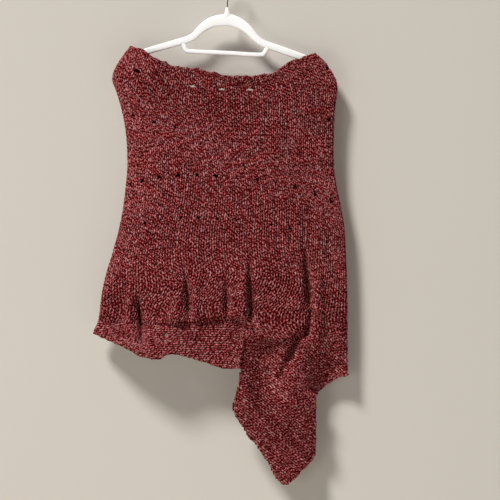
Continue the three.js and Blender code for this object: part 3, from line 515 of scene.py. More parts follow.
def stitch_rows(flat, angle, settings, holes, seed, wales=None, first=None, last=None):
    """Rows of knit stitches as yarn centre lines. Along a row the yarn goes forward evenly plus a
    sine of twice the stitch's turn, up and down by a cosine of the turn, and in and out by a
    cosine of twice the turn, so legs lie outside and heads and feet behind. angle is that of the
    wales below the horizontal, 90 where wales gives their number: rows then run straight across,
    as many as lie between first and last. Near a hole a row keeps to its own side of its rim."""
    random = np.random.default_rng(seed)
    turn = math.radians(angle)
    sine, cosine = math.sin(turn), 0 if wales else math.cos(turn)
    along, down = (sine, -cosine), (cosine, sine)
    if wales:
        wide, start, end = flat.wide / wales, 0, wales
        rows = np.arange(math.ceil(first - 0.5) + 0.5, last, 1.0)
    else:
        wide = WALE
        corners = [(u, v) for u in (0, flat.wide) for v in (0, flat.tall)]
        ps = [(u * along[0] + v * along[1]) / wide for u, v in corners]
        qs = [(u * down[0] + v * down[1]) / COURSE for u, v in corners]
        rows = np.arange(math.floor(min(qs)) + 0.5, math.ceil(max(qs)) + 0.5)
        start, end = math.floor(min(ps)), math.ceil(max(ps))
    t = start + np.arange((end - start) * STITCH_STEPS + 1) / STITCH_STEPS
    whole = np.clip((t - start).astype(int), 0, None)
    part = (t - start) - whole
    wobble = random.normal(0, 1, (4, len(rows), int(whole.max()) + 2))
    after = np.minimum(whole + 1, wobble.shape[2] - 1)
    smooth = wobble[:, :, whole] * (1 - part) + wobble[:, :, after] * part
    spin = 2 * np.pi * t
    p = t + STITCH_SWAY * np.sin(2 * spin) * (1 + 0.12 * smooth[0]) + 0.035 * smooth[1]
    q = rows[:, None] + (STITCH_RISE + 0.05 * smooth[2]) * np.cos(spin) + 0.05 * smooth[3]
    lift = -settings.loop_depth / MM * np.cos(2 * spin) * np.ones_like(q)
    for hp, hq, rp, rq in holes_in_stitches(holes, along, down, wide, bool(wales)):
        rim = rq * np.sqrt(np.clip(1 - ((p - hp) / rp) ** 2, 0, 1))
        near = np.abs(p - hp) < rp
        above = rows[:, None] < hq
        q = np.where(near & above, np.minimum(q, hq - rim), q)
        q = np.where(near & ~above, np.maximum(q, hq + rim), q)
    u = p * wide * along[0] + q * COURSE * down[0]
    v = p * wide * along[1] + q * COURSE * down[1]
    within = np.clip(u, 0, flat.wide)
    keep = flat.inside(within if wales else u, v)
    place, out = flat.at(within, v)
    radius = settings.yarn / MM / 2 * (1 + 0.05 * smooth[1]) * np.ones_like(q)
    return place + out * lift[..., None], out, radius, keep, rows


def holes_in_stitches(holes, along, down, wide, straight):
    """Hole places and half sizes in stitches. A hole in rows laid at an angle is taken as round."""
    found = []
    for u, v, ru, rv in holes:
        if not straight:
            ru = rv = (ru + rv) / 2
        p, q = (u * along[0] + v * along[1]) / wide, (u * down[0] + v * down[1]) / COURSE
        found.append((p, q, (ru + HOLE_ROOM) / wide, (rv + HOLE_ROOM) / COURSE))
    return found


def tubes(points, outs, radius, keep, sides=4):
    """Closed tubes round rows of points: a ring of corners about each point, in the plane across
    the row, and a pole at both ends of each unbroken run. Gives corners and faces, and for each
    face corner its place round and along the yarn (wrap) and one in a square where no two faces
    overlap (packed)."""
    keep = keep & (np.roll(keep, 1, 1) | np.roll(keep, -1, 1))
    tangent = unit(np.gradient(points, axis=1))
    beside = unit(np.cross(tangent, outs))
    outward = np.cross(beside, tangent)
    angle = 2 * np.pi * (np.arange(sides) + 0.5) / sides
    ring = outward[:, :, None] * np.cos(angle)[:, None]
    ring = ring + beside[:, :, None] * np.sin(angle)[:, None]
    ring = points[:, :, None] + ring * radius[:, :, None, None]
    run = lengths(points) + ROW_SHIFT * np.arange(len(points))[:, None]
    number = np.full(keep.shape, -1)
    number[keep] = np.arange(keep.sum())
    corners = ring[keep].reshape(-1, 3)

    # A face has four corners: round the yarn by turn and along it by ahead.
    turn, ahead = np.arange(sides)[:, None] + (0, 1, 1, 0), np.array([0, 0, 1, 1])
    on = (number[:, :-1] >= 0) & (number[:, 1:] >= 0)
    at = np.where(ahead, number[:, 1:][on][:, None], number[:, :-1][on][:, None])[:, None]
    far = np.where(ahead, run[:, 1:][on][:, None], run[:, :-1][on][:, None])[:, None]
    steps = np.arange(len(at))
    width = max(int(math.sqrt(len(at) * sides)), 1)
    lane = 1 / math.ceil(len(at) / width)
    x, y = (steps % width) / width, (steps // width) * lane
    shape = (len(at), sides, 4)
    wrap = [np.broadcast_to(turn / sides, shape), np.broadcast_to(far, shape)]
    packed = [np.broadcast_to((x[:, None] + ahead / width)[:, None], shape),
              y[:, None, None] + lane * turn / sides]

    edge = np.zeros((len(keep), 1), bool)
    first = keep & ~np.concatenate([edge, keep[:, :-1]], axis=1)
    last = keep & ~np.concatenate([keep[:, 1:], edge], axis=1)
    poles, tris, tri_wrap = [], [], []
    base, k = len(corners), np.arange(sides)
    for ends, way in ((first, -1), (last, 1)):
        ids = number[ends][:, None] * sides
        poles.append(points[ends] + way * tangent[ends] * radius[ends][:, None] * 0.6)
        top = base + np.arange(len(ids))[:, None] + 0 * k
        base += len(ids)
        pair = (ids + k, ids + (k + 1) % sides)[::way]
        tris.append(np.stack([*pair, top], -1).reshape(-1, 3))
        round_ = np.stack([k / sides + 0 * ids, run[ends][:, None] + 0 * k], -1)
        tri_wrap.append(np.stack([round_] * 3, 2).reshape(-1, 3, 2))
    return {
        "corners": np.concatenate([corners, *poles]),
        "quads": (at * sides + turn % sides).reshape(-1, 4),
        "tris": np.concatenate(tris), "wrap": np.stack(wrap, -1).reshape(-1, 4, 2),
        "packed": np.stack(packed, -1).reshape(-1, 4, 2), "tri_wrap": np.concatenate(tri_wrap),
    }


def join(parts):
    """Several closed meshes as one. Packed maps are stacked in bands by face count."""
    total = sum(len(part["quads"]) for part in parts)
    moved, base, low = [], 0, 0.0
    for part in parts:
        share = len(part["quads"]) / total
        part = {**part, "quads": part["quads"] + base, "tris": part["tris"] + base}
        if "packed" in part:
            part["packed"] = part["packed"] * (1, share) + (0, low)
        moved.append(part)
        base += len(part["corners"])
        low += share
    return {key: np.concatenate([part[key] for part in moved]) for key in moved[0]}


def grid_quads(rows, columns, closed=False):
    """Quads of a grid of points, row by row, joined round along each row when closed."""
    a = np.arange(columns if closed else columns - 1)
    b = (a + 1) % columns
    low = np.arange(rows - 1)[:, None] * columns
    return np.stack([low + a, low + b, low + b + columns, low + a + columns], -1).reshape(-1, 4)


def put_mesh(name, corners, quads, tris=None, maps=None):
    """A smooth mesh object at the origin from arrays in millimetres, with its UV maps if given."""
    tris = np.zeros((0, 3), int) if tris is None else tris
    mesh = bpy.data.meshes.new(name)
    loops = np.concatenate([quads.reshape(-1), tris.reshape(-1)])
    mesh.vertices.add(len(corners))
    mesh.vertices.foreach_set("co", (np.asarray(corners) * MM).reshape(-1))
    mesh.loops.add(len(loops))
    mesh.loops.foreach_set("vertex_index", loops.astype(np.int32))
    mesh.polygons.add(len(quads) + len(tris))
    starts = np.concatenate([np.arange(len(quads)) * 4, len(quads) * 4 + np.arange(len(tris)) * 3])
    mesh.polygons.foreach_set("loop_start", starts.astype(np.int32))
    mesh.update(calc_edges=True)
    for layer, values in (maps or {}).items():
        mesh.uv_layers.new(name=layer).data.foreach_set("uv", values.reshape(-1).astype(np.float32))
    mesh.polygons.foreach_set("use_smooth", np.full(len(mesh.polygons), True))
    mesh.validate()
    obj = bpy.data.objects.new(name, mesh)
    bpy.context.collection.objects.link(obj)
    return obj


def put_tubes(name, parts):
    """Tubes as an object. The map named yarn runs once round and in metres along the yarn."""
    part = join(parts)
    wrap = np.concatenate([part["wrap"].reshape(-1, 2), part["tri_wrap"].reshape(-1, 2)]) * (1, MM)
    packed = part["packed"].reshape(-1, 2)
    packed = np.concatenate([packed, np.zeros((len(part["tris"]) * 3, 2)) + packed[-1]])
    maps = {"yarn": wrap, "OFBake": packed}
    return put_mesh(name, part["corners"], part["quads"], part["tris"], maps)


def put_sheet(name, flat, us, vs, dropped):
    """The ground of the knitting: the flat cloth's surface on a grid, less the dropped cells, made
    a closed thin shell by Solidify. It lies just under the yarn and carries the painted shade
    seen between the stitches."""
    u, v = np.meshgrid(us, vs)
    place, out = flat.at(u, v)
    points = (place - out * GROUND_SUNK).reshape(-1, 3)
    middle = np.meshgrid((us[1:] + us[:-1]) / 2, (vs[1:] + vs[:-1]) / 2)
    quads = grid_quads(len(vs), len(us))[~dropped(*middle).reshape(-1)]
    quads = quads[:, (1, 2, 3, 0) if flat.out > 0 else (0, 3, 2, 1)]
    used, back = np.unique(quads, return_inverse=True)
    obj = put_mesh(name, points[used], back.reshape(-1, 4))
    solid = obj.modifiers.new("thickness", "SOLIDIFY")
    solid.thickness = GROUND_THICK * MM
    solid.offset = 0
    return obj


def hole_dropper(holes):
    """Tells which cells fall in a hole grown a little: an oval by its two half sizes."""

    def dropped(u, v):
        hit = np.zeros(u.shape, bool)
        for hu, hv, ru, rv in holes:
            hit |= ((u - hu) / (ru + GROUND_ROOM)) ** 2 + ((v - hv) / (rv + GROUND_ROOM)) ** 2 < 1
        return hit

    return dropped


def eyelets_on(flat, rows):
    """Eyelets as flat places and half sizes: the place where the course's x falls."""
    found = []
    us = np.linspace(0, flat.wide, 900)
    for course, xs, wide, high in rows:
        line = flat.place(us, np.full_like(us, course * COURSE))
        for x in xs:
            found.append((float(np.interp(x, line[:, 0], us)), course * COURSE, wide / 2, high / 2))
    return found


def holes_near(flat, spots):
    """Loose stitches given by x and z, as flat places: the nearest point of a fine grid."""
    u, v = np.meshgrid(np.linspace(0, flat.wide, 500), np.linspace(0, flat.tall, 500))
    place = flat.place(u, v)
    found = []
    for x, z, wide, high in spots:
        k = np.argmin((place[..., 0] - x) ** 2 + (place[..., 2] - z) ** 2)
        found.append((float(u.flat[k]), float(v.flat[k]), wide / 2, high / 2))
    return found


def edge_cord(flat, us, vs, settings, seed=3):
    """Cast-off edge: two strands wound round each other along a line on the cloth, each a circle
    about the line once for every stitch, a half turn apart."""
    place, out = flat.at(us, vs)
    run = lengths(place)
    steps = 8
    count = max(int(run[-1] / WALE * steps), steps)
    even = np.linspace(0, run[-1], count + 1)
    place, out = (np.stack([np.interp(even, run, a) for a in rows.T], -1) for rows in (place, out))
    out = unit(out)
    beside = np.cross(unit(np.gradient(place, axis=0)), out)
    knots = np.random.default_rng(seed).normal(0, 1, (2, count // steps + 2))
    at = np.arange(count + 1) / steps
    wobble = np.array([np.interp(at, np.arange(knots.shape[1]), row) for row in knots])
    radius = settings.yarn / MM / 2 * 0.78
    strands = []
    for half in (0, np.pi):
        turn = 2 * np.pi * even / WALE + half
        line = place + out * (np.sin(turn) * radius * 0.95 + 0.8 * wobble[0])[:, None]
        strands.append(line + beside * (np.cos(turn) * radius * 0.855 + 1.3 * wobble[1])[:, None])
    whole = np.ones((2, count + 1), bool)
    return tubes(np.stack(strands), np.stack([out, out]), radius * whole, whole)


class Finish:
    """A material in the making, with a short call for each kind of node that it uses. A value may
    be a number, a colour or a node's output."""

    def __init__(self, name):
        self.made = bpy.data.materials.new(name)
        self.made.use_nodes = True
        self.nodes, self.links = self.made.node_tree.nodes, self.made.node_tree.links
        self.shader = self.nodes["Principled BSDF"]

    def put(self, socket, value):
        """Links an output to a socket, or sets the socket's value."""
        if isinstance(value, bpy.types.NodeSocket):
            self.links.new(value, socket)
        elif socket.type == "RGBA":
            socket.default_value = (*value[:3], 1)
        else:
            socket.default_value = value

    def set(self, **values):
        """Sets inputs of the shader, their names with _ for a space."""
        for name, value in values.items():
            self.put(self.shader.inputs[name.replace("_", " ")], value)

    def node(self, kind, output, inputs, **settings):
        """One output of a new node with these inputs, by name or number, and settings."""
        node = self.nodes.new("ShaderNode" + kind)
        for name, value in settings.items():
            setattr(node, name, value)
        for name, value in inputs.items():
            self.put(node.inputs[name], value)
        return node.outputs[output]

    def place(self):
        """Object coordinates."""
        return self.node("TexCoord", "Object", {})

    def number(self, operation, *values):
        """A function of one or two numbers."""
        return self.node("Math", 0, dict(enumerate(values)), operation=operation)

    def line(self, value, factor, more):
        """The value times a factor, plus more."""
        return self.number("ADD", self.number("MULTIPLY", value, factor), more)

    def noise(self, vector, scale, detail=2.0, rough=0.5):
        """Fractal noise from 0 to 1."""
        inputs = {"Scale": scale, "Detail": detail, "Roughness": rough, "Vector": vector}
        return self.node("TexNoise", "Fac", inputs)

    def mix(self, share, a, b, blend="MIX"):
        """Two colours mixed by a share."""
        return self.node("Mix", 2, {0: share, 6: a, 7: b}, data_type="RGBA", blend_type=blend)

    def ramp(self, value, low, high):
        """Straight rise from 0 at low to 1 at high."""
        return self.node("MapRange", "Result", {"From Min": low, "From Max": high, "Value": value})

    def bump(self, height, strength, distance):
        """Relief from a height."""
        inputs = {"Strength": strength, "Distance": distance, "Height": height}
        self.set(Normal=self.node("Bump", "Normal", inputs))


def yarn_material(settings):
    """Two-ply marl: a rose ply and a burgundy ply wound along the yarn, broken by dark and pale
    flecks, with the ply groove and short fibres as bump."""
    m = Finish("marl_yarn")
    uv = {"Vector": m.node("UVMap", "UV", {}, uv_map="yarn")}
    around, along = (m.node("SeparateXYZ", axis, uv) for axis in "XY")
    place = m.place()
    turned = m.number("MULTIPLY", around, 2 * math.pi)
    wound = [m.number("MULTIPLY", m.number(kind, turned), 0.55) for kind in ("COSINE", "SINE")]
    wound = m.node("CombineXYZ", 0, dict(enumerate([*wound, m.number("MULTIPLY", along, 250)])))
    fleck = m.noise(wound, 1.0, 2.0, 0.6)
    patch = m.noise(wound, 0.66, 1.0)
    cloud = m.noise(place, 9)
    twist = m.number("ADD", m.number("MULTIPLY", along, 1 / settings.twist), around)
    twist = m.number("ADD", twist, m.number("MULTIPLY", patch, 1.6))
    wave = m.number("SINE", m.number("MULTIPLY", twist, 2 * math.pi))
    colour = m.mix(m.ramp(wave, 0.0, 0.9), settings.burgundy, settings.rose)
    dark = m.number("MULTIPLY", m.ramp(fleck, 0.50, 0.62), 0.8)
    colour = m.mix(dark, colour, settings.dark_fleck_and_shade)
    pale = m.number("MULTIPLY", m.ramp(patch, 0.56, 0.70), 0.5)
    colour = m.mix(pale, colour, settings.pale)
    grey = m.node("CombineColor", 0, dict.fromkeys(range(3), m.line(cloud, 0.5, 0.75)))
    m.set(Base_Color=m.mix(1.0, colour, grey, "MULTIPLY"))
    m.set(Roughness=m.line(fleck, 0.2, 0.72), Specular_IOR_Level=0.0)
    fibre = m.number("MULTIPLY", m.noise(place, 1400, 2.0, 0.6), 0.8)
    m.bump(m.number("ADD", m.number("ABSOLUTE", wave), fibre), 0.5, 0.0006)
    return m.made


def painted_shade_material(settings):
    """Painted shade: the dark colour of the yarn in shade between the stitches, put on the sheet under
    the yarn.
    """
    m = Finish("knit_painted_shade")
    fleck = m.noise(m.place(), 420, 3.0, 0.6)
    # Painted shade: near-black mottled with burgundy, standing for the shade between the stitches.
    m.set(Base_Color=m.mix(fleck, settings.dark_fleck_and_shade, settings.burgundy))
    m.set(Roughness=m.line(fleck, 0.1, 0.85), Specular_IOR_Level=0.0)
    m.bump(fleck, 0.6, 0.0008)
    return m.made


def plastic_material(settings):
    """White moulded plastic with a faint unevenness of colour and gloss."""
    m = Finish("white_plastic")
    place = m.place()
    cloud = m.noise(place, 18, 3.0)
    base = settings.plastic
    m.set(Base_Color=m.mix(m.ramp(cloud, 0.3, 0.8), base, [c * 0.96 for c in base]))
    m.set(Roughness=m.line(cloud, 0.12, 0.26), Subsurface_Weight=0.1, Subsurface_Scale=0.003)
    m.bump(m.noise(place, 900), 0.12, 0.0002)
    return m.made


def wire_material(settings):
    """Bright drawn wire with fine lines and slight dulling."""
    m = Finish("bright_wire")
    place = m.place()
    cloud = m.noise(place, 60, 3.0)
    base = settings.wire
    m.set(Base_Color=m.mix(cloud, base, [c * 0.8 for c in base]))
    m.set(Roughness=m.line(cloud, 0.2, 0.16), Metallic=1.0)
    m.bump(m.noise(place, 1800), 0.1, 0.0001)
    return m.made


def paper_material(settings):
    """Backdrop paper, lit a little by itself and clear from behind."""
    m = Finish("backdrop_paper")
    base = settings.backdrop
    m.set(Base_Color=m.mix(m.noise(m.place(), 3), base, [c * 0.985 for c in base]))
    m.set(Roughness=0.95, Specular_IOR_Level=0.0, Emission_Color=base, Emission_Strength=0.1)
    behind, clear = m.node("NewGeometry", "Backfacing", {}), m.node("BsdfTransparent", 0, {})
    both = m.node("MixShader", 0, {0: behind, 1: m.shader.outputs[0], 2: clear})
    m.put(m.nodes["Material Output"].inputs[0], both)
    return m.made


FINISHES = {
    "marl_yarn": yarn_material, "knit_painted_shade": painted_shade_material, "white_plastic": plastic_material,
    "bright_wire": wire_material,
}


def declare(obj, finish, settings):
    """Gives an object its body and a finish by name, which is made once."""
    obj.data.materials.append(bpy.data.materials.get(finish) or FINISHES[finish](settings))
    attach(obj, "root")


class PonchoSettings(bpy.types.PropertyGroup):
    """Sizes and colours of the knitting and the hanger."""

    wales: IntProperty(
        name="Wales", description="Stitches across the front and across the back", default=50,
        min=20, max=80)
    yarn: FloatProperty(
        name="Yarn thickness", description="Diameter of the yarn", default=0.0042, min=0.002, max=0.006,
        unit="LENGTH", subtype="DISTANCE")
    loop_depth: FloatProperty(
        name="Loop depth", description="How far legs stand out and heads lie back", default=0.00095,
        min=0, max=0.003, unit="LENGTH", subtype="DISTANCE")
    twist: FloatProperty(
        name="Twist", description="Length of yarn for one turn of its two plies", default=0.007,
        min=0.003, max=0.05, unit="LENGTH", subtype="DISTANCE")
    rose: FloatVectorProperty(
        name="Rose ply", description="Lighter ply of the marl", default=(0.48, 0.119, 0.125),
        subtype="COLOR", min=0, max=1)
    burgundy: FloatVectorProperty(
        name="Burgundy ply", description="Deeper ply of the marl", default=(0.11, 0.004, 0.004),
        subtype="COLOR", min=0, max=1)
    # Near-black flecks in the yarn, and also the painted shade of the sheet seen between the stitches.
    dark_fleck_and_shade: FloatVectorProperty(
        name="Dark fleck and painted shade", description="Near-black flecks in the yarn", default=(0.028, 0.001, 0.0012),
        subtype="COLOR", min=0, max=1)
    pale: FloatVectorProperty(
        name="Pale fleck", description="Pale pink flecks in the yarn", default=(0.73, 0.385, 0.39),
        subtype="COLOR", min=0, max=1)
    plastic: FloatVectorProperty(
        name="Plastic", description="Colour of the moulded hanger", default=(0.99, 0.99, 0.985),
        subtype="COLOR", min=0, max=1)
    wire: FloatVectorProperty(
        name="Wire", description="Colour of the hook's wire", default=(0.72, 0.73, 0.74),
        subtype="COLOR", min=0, max=1)
    backdrop: FloatVectorProperty(
        name="Backdrop", description="Colour of the wall and floor", default=(0.53, 0.4985, 0.452),
        subtype="COLOR", min=0, max=1)


def dress(yarns, ground, node, settings):
    """Finishes and declares one knitted piece: its ground, the yarn on it and the CAD node that
    they stand for."""
    for obj in (*yarns, ground):
        declare(obj, "knit_painted_shade" if obj is ground else "marl_yarn", settings)
    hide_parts(node)


def knit_tube(name, node, first, last, loose, settings, seed, split=None):
    """Knits one side of the tube between two courses: yarn in one or two pieces, ground, holes."""
    front = "front" in name
    surface, out, eyelets = (front_at, -1, FRONT_EYELETS) if front else (back_at, 1, BACK_EYELETS)
    flat = tube_flat(surface, 0, last + 1, out)
    holes = eyelets_on(flat, [row for row in eyelets if first - 1 < row[0] < last + 1])
    holes += holes_near(flat, loose)
    *yarn, centres = stitch_rows(flat, 90, settings, holes, seed, settings.wales, first, last)
    chosen_rows = {"_yarn": centres < last}
    if split:
        chosen_rows = {"_yarn_upper": centres < split, "_yarn_lower": centres >= split}
    yarns = []
    for part, chosen in chosen_rows.items():
        pieces = [tubes(*(rows[chosen] for rows in yarn))]
        if first < 1:
            us = np.linspace(0, flat.wide, 500)
            pieces.append(edge_cord(flat, us, np.full_like(us, 0.75 * COURSE), settings))
        yarns.append(put_tubes(name + part, pieces))
    us = np.linspace(0, flat.wide, settings.wales * 2 + 1)
    vs = np.linspace(first, last, int((last - first) * 2) + 1) * COURSE
    ground = put_sheet(name + "_ground", flat, us, vs, hole_dropper(holes))
    dress(yarns, ground, node, settings)


def knit_patch(name, node, flat, angle, settings, us, vs, outside, cords, loose, seed):
    """Knits a piece whose stitches lie at their own angle, with its edge cords."""
    holes = holes_near(flat, loose)
    in_hole = hole_dropper(holes)
    parts = [tubes(*stitch_rows(flat, angle, settings, holes, seed)[:4])]
    parts += [edge_cord(flat, u, v, settings, seed + k) for k, (u, v) in enumerate(cords)]
    yarn = put_tubes(name + "_yarn", parts)
    ground = put_sheet(name + "_ground", flat, us, vs, lambda u, v: in_hole(u, v) | outside(u, v))
    dress([yarn], ground, node, settings)


class PONCHO_OT_body(bpy.types.Operator):
    """Knit the front and back of the body"""

    bl_idname = "poncho.body"
    bl_label = "Body"

    def execute(self, context):
        s = context.scene.poncho
        knit_tube("body_front", "body_front", NECK_ROWS, SEAM_COURSE + 0.2, [LOOSE_BODY], s,
                  11, split=34)
        knit_tube("body_back", "body_back", NECK_ROWS, BACK_SEAM_COURSE + 0.2, [], s,
                  12)
        return {"FINISHED"}


class PONCHO_OT_neck(bpy.types.Operator):
    """Knit the neck band, front and back, with its cast-off edge"""

    bl_idname = "poncho.neck"
    bl_label = "Neck band"

    def execute(self, context):
        s = context.scene.poncho
        knit_tube("neck_front", "neck_band_front", NECK_START, NECK_ROWS, [], s, 13)
        knit_tube("neck_back", "neck_band_back", NECK_START, NECK_ROWS, [], s, 14)
        return {"FINISHED"}


class PONCHO_OT_hems(bpy.types.Operator):
    """Knit the left, right and back hem bands"""

    bl_idname = "poncho.hems"
    bl_label = "Hem bands"

    def execute(self, context):
        s = context.scene.poncho
        whole = np.linspace(0, 1, 300)
        for name, node, surface, out, angle, flat_size, loose, seed in (
            ("hem_left", "border_left", hem_left_at, -1, 4, (0.31, 0.076), [LOOSE_LEFT], 21),
            ("hem_right", "border_right", hem_right_at, -1, 43, (0.1, 0.12), [], 22),
            ("hem_back", "border_back", hem_back_at, 1, 0, (0.57, 0.0875), [], 23),
        ):
            flat = hem_flat(surface, out, 3.4)
            line = whole * flat.wide
            cords = [(line, flat.column(line) - 2.6)]
            if name == "hem_right":
                cords.append((np.full_like(whole, 1.5), whole * (flat.column(1.5) - 2.6)))
            us = np.linspace(0, flat.wide, int(flat.wide / 4.6) + 1)
            vs = np.linspace(0, flat.tall, int(flat.tall / 4.1) + 1)
            knit_patch(name, node, flat, angle, s, us, vs,
                       lambda u, v, flat=flat: v > flat.column(u) - 1, cords, loose, seed)
        return {"FINISHED"}


class PONCHO_OT_point(bpy.types.Operator):
    """Knit the hanging point"""

    bl_idname = "poncho.point"
    bl_label = "Hanging point"

    def execute(self, context):
        flat, edge = point_flat(3.2), point_flat(1.0)
        sides = []
        for outline, top, inward in ((point_left, 62, 2.6), (point_right, 116, -2.6)):
            down = np.linspace(top, 299, 400 if inward > 0 else 300)
            sides.append((outline(POINT_TOP - down) - POINT_START + inward, down))
        tip = np.linspace(point_left(-1040) + 3, point_right(-1040) - 3, 20) - POINT_START
        knit_patch("point", "border_point", flat, 37, context.scene.poncho,
                   np.linspace(0, POINT_WIDE, 40), np.linspace(0, POINT_LONG, 74),
                   lambda u, v: ~edge.inside(u, v), [*sides, (tip, np.full_like(tip, 298))],
                   LOOSE_POINT, 31)
        return {"FINISHED"}


def smooth_line(line, *values, step=None, count=None):
    """An (x, z) line through the points of a table, at even lengths along it, with its directions
    and the values that go with its points, by the curve that never overshoots."""
    line = np.array(line, float)
    run = lengths(line)
    fine = np.linspace(0, run[-1], count or int(run[-1] / step) + 2)
    centre = np.stack([curve(np.stack([run, line[:, k]], -1))(fine) for k in range(2)], -1)
    found = [curve(np.stack([run, value], -1))(fine) for value in values]
    return fine, centre, unit(np.gradient(centre, axis=0)), *found


def sweep(centre, tangent, high, deep, angle, power=1.0):
    """A closed rod of squared oval section along an (x, z) line: height across it by a cosine,
    depth along Y by a sine, each to a power."""
    c, d = (np.sign(f(angle)) * np.abs(f(angle)) ** power for f in (np.cos, np.sin))
    across = (high / 2)[:, None] * c
    x, z = centre[:, :1] - tangent[:, 1:] * across, centre[:, 1:] + tangent[:, :1] * across
    return close_rings(np.stack([x, (deep / 2)[:, None] * d, z], -1))


def rod_mesh(line, high, thick, round_ends, sides=24):
    """A rod of rounded section along (x, z) points, its ends a quarter round if wanted."""
    line = np.array(line, float)
    _, centre, tangent, tall = smooth_line(line, np.zeros(len(line)) + high, step=4)
    size = np.ones(len(centre))
    if round_ends:
        turn = np.radians(np.linspace(12, 84, 7))
        push, share = 6 * np.sin(turn), np.cos(turn)
        head = centre[:1] - tangent[:1] * push[::-1, None]
        tail = centre[-1:] + tangent[-1:] * push[:, None]
        centre = np.concatenate([head, centre, tail])
        size = np.concatenate([share[::-1], size, share])
        tall, tangent = (np.concatenate([np.repeat(a[:1], 7, 0), a, np.repeat(a[-1:], 7, 0)])
                         for a in (tall, tangent))
    angle = 2 * np.pi * (np.arange(sides) + 0.5) / sides
    return sweep(centre, tangent, size * tall, size * thick, angle, 0.75)


def close_rings(rings):
    """A closed mesh over rings of points, with a pole at both ends, its faces turned outwards:
    the other way round if its volume comes out below nothing."""
    count, sides = rings.shape[:2]
    corners = np.concatenate([rings.reshape(-1, 3), rings[[0, -1]].mean(1)])
    quads = grid_quads(count, sides, True)
    k = np.arange(sides)
    k2 = (k + 1) % sides
    last, pole = (count - 1) * sides, np.full(sides, count * sides)
    tris = np.concatenate(
        [np.stack([k2, k, pole], -1), np.stack([last + k, last + k2, pole + 1], -1)])
    a, b, c, d = (corners[quads[:, k]] for k in range(4))
    if (np.cross(a, b) * c).sum() + (np.cross(a, c) * d).sum() < 0:
        quads, tris = quads[:, ::-1], tris[:, ::-1]
    return {"corners": corners, "quads": quads, "tris": tris}


def put_hardware(name, rods, finish, node, settings):
    """Puts a piece of the hanger in place, finished and declared."""
    obj = put_mesh(name, **join(rods))
    declare(obj, finish, settings)
    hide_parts(node)


class PONCHO_OT_hanger(bpy.types.Operator):
    """Mould the hanger: arched arms, cross bar and boss"""

    bl_idname = "poncho.hanger"
    bl_label = "Hanger"

    def execute(self, context):
        line = np.array(HANGER_LINE)
        arms = rod_mesh(line[:, :2], line[:, 2], HANGER_THICK, True, 28)
        bar = rod_mesh(BAR_LINE, BAR_HIGH, HANGER_THICK - 1, False)
        angle = 2 * np.pi * np.arange(28) / 28
        height, wide, deep = np.array(BOSS).T[:, :, None]
        boss = np.stack(
            [BOSS_X + wide * np.cos(angle), deep * np.sin(angle), height + 0 * angle], -1)
        put_hardware("hanger_moulding", [arms, bar, close_rings(boss)], "white_plastic",
                     "hanger", context.scene.poncho)
        return {"FINISHED"}


class PONCHO_OT_hook(bpy.types.Operator):
    """Bend the wire hook: straight stem, then most of a circle"""

    bl_idname = "poncho.hook"
    bl_label = "Hook"

    def execute(self, context):
        turn = np.radians(np.linspace(-74, 205, 48))
        radius = HOOK_INNER + WIRE_RADIUS
        bend = np.stack([radius * np.cos(turn), radius * np.sin(turn) - HOOK_INNER], -1)
        run, centre, tangent = smooth_line(np.concatenate([STEM_LINE, bend]), count=150)
        # The free end is rounded off over its last 1.4 mm, by a quarter circle.
        left = np.minimum(run[-1] - run, 1.4) / 1.4
        wide = 2 * WIRE_RADIUS * np.sqrt(np.clip(1 - (1 - left) ** 2, 0.02, 1))
        wire = sweep(centre, tangent, wide, wide, 2 * np.pi * np.arange(16) / 16)
        put_hardware("hook_wire", [wire], "bright_wire", "hanger_hook",
                     context.scene.poncho)
        return {"FINISHED"}


def lamp(name, place, target, size, power, colour):
    """A round area light at a place, turned towards a target."""
    light = bpy.data.lights.new(name, "AREA")
    light.shape, light.size, light.energy, light.color = "DISK", size, power, colour
    obj = bpy.data.objects.new(name, light)
    bpy.context.collection.objects.link(obj)
    obj.location = place
    obj.rotation_euler = (Vector(target) - Vector(place)).to_track_quat("-Z", "Y").to_euler()


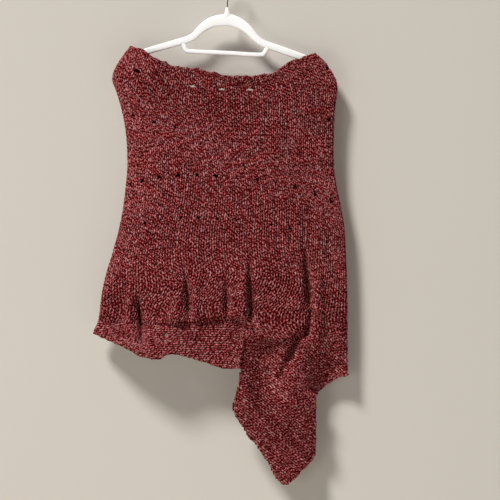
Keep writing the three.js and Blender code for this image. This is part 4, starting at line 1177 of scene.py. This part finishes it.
class PONCHO_OT_stage(bpy.types.Operator):
    """Set up the backdrop, floor, lights and camera"""

    bl_idname = "poncho.stage"
    bl_label = "Stage"

    def execute(self, context):
        scene = context.scene
        # Wall and floor, in metres, joined by a quarter round.
        wall, floor, corner, front, top, half = 0.042, -1.75, 0.35, -6.5, 3.5, 5.0
        turn = np.linspace(0, np.pi / 2, 20)
        ys = np.concatenate([[wall], wall - corner + corner * np.cos(turn), [front]])
        zs = np.concatenate([[top], floor + corner - corner * np.sin(turn), [floor]])
        xs = np.array([-half, half]) + 0 * ys[:, None]
        points = np.stack([xs, ys[:, None] + 0 * xs, zs[:, None] + 0 * xs], -1).reshape(-1, 3) / MM
        backdrop = put_mesh("backdrop", points, grid_quads(len(ys), 2)[:, (0, 3, 2, 1)])
        backdrop.data.materials.append(paper_material(scene.poncho))
        backdrop.visible_shadow = False
        lamp("key_light", (-5.6, -7.6, 9.9), (0, 0, -0.55), 3.2, 2300, (1, 0.99, 0.975))
        lamp("fill_light", (-1.3, -2.6, -1.1), (0, 0, -0.7), 1.2, 12.5, (1, 0.99, 0.98))
        lamp("back_light", (0.8, 3.5, 1.2), (0, 0, -0.5), 2.5, 80, (1, 1, 1))
        scene.world = bpy.data.worlds.new("studio")
        scene.world.use_nodes = True
        sky = scene.world.node_tree.nodes["Background"].inputs
        sky["Color"].default_value = (0.62, 0.60, 0.57, 1)
        sky["Strength"].default_value = 0.1
        scene.view_settings.view_transform = "Standard"
        camera = bpy.data.cameras.new("camera")
        camera.lens, camera.sensor_width, camera.clip_end = 174.8, 36, 50
        scene.camera = bpy.data.objects.new("camera", camera)
        scene.camera.location = (0.0453, -5.0, -0.5602)
        scene.camera.rotation_euler = (math.pi / 2, 0, 0)
        context.collection.objects.link(scene.camera)
        return {"FINISHED"}


class PONCHO_PT_panel(bpy.types.Panel):
    """Poncho pieces and settings"""

    bl_label = "Knitted poncho"
    bl_idname = "PONCHO_PT_panel"
    bl_space_type = "VIEW_3D"
    bl_region_type = "UI"
    bl_category = "Poncho"

    def draw(self, context):
        settings = context.scene.poncho
        for name in settings.bl_rna.properties.keys():
            if name not in ("rna_type", "name"):
                self.layout.prop(settings, name)
        for operator in STEPS:
            self.layout.operator(operator.bl_idname)


STEPS = (
    PONCHO_OT_stage, PONCHO_OT_body, PONCHO_OT_neck, PONCHO_OT_hems, PONCHO_OT_point,
    PONCHO_OT_hanger, PONCHO_OT_hook,
)
CLASSES = (PonchoSettings, *STEPS, PONCHO_PT_panel)


def register():
    """Registers the classes and gives each scene its settings."""
    for cls in CLASSES:
        bpy.utils.register_class(cls)
    bpy.types.Scene.poncho = PointerProperty(type=PonchoSettings)


def unregister():
    """Takes back what register did."""
    del bpy.types.Scene.poncho
    for cls in reversed(CLASSES):
        bpy.utils.unregister_class(cls)


def main():
    """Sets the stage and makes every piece."""
    register()
    bpy.ops.poncho.stage()
    bpy.ops.poncho.body()
    bpy.ops.poncho.neck()
    bpy.ops.poncho.hems()
    bpy.ops.poncho.point()
    bpy.ops.poncho.hanger()
    bpy.ops.poncho.hook()


if __name__ == "__main__":
    main()
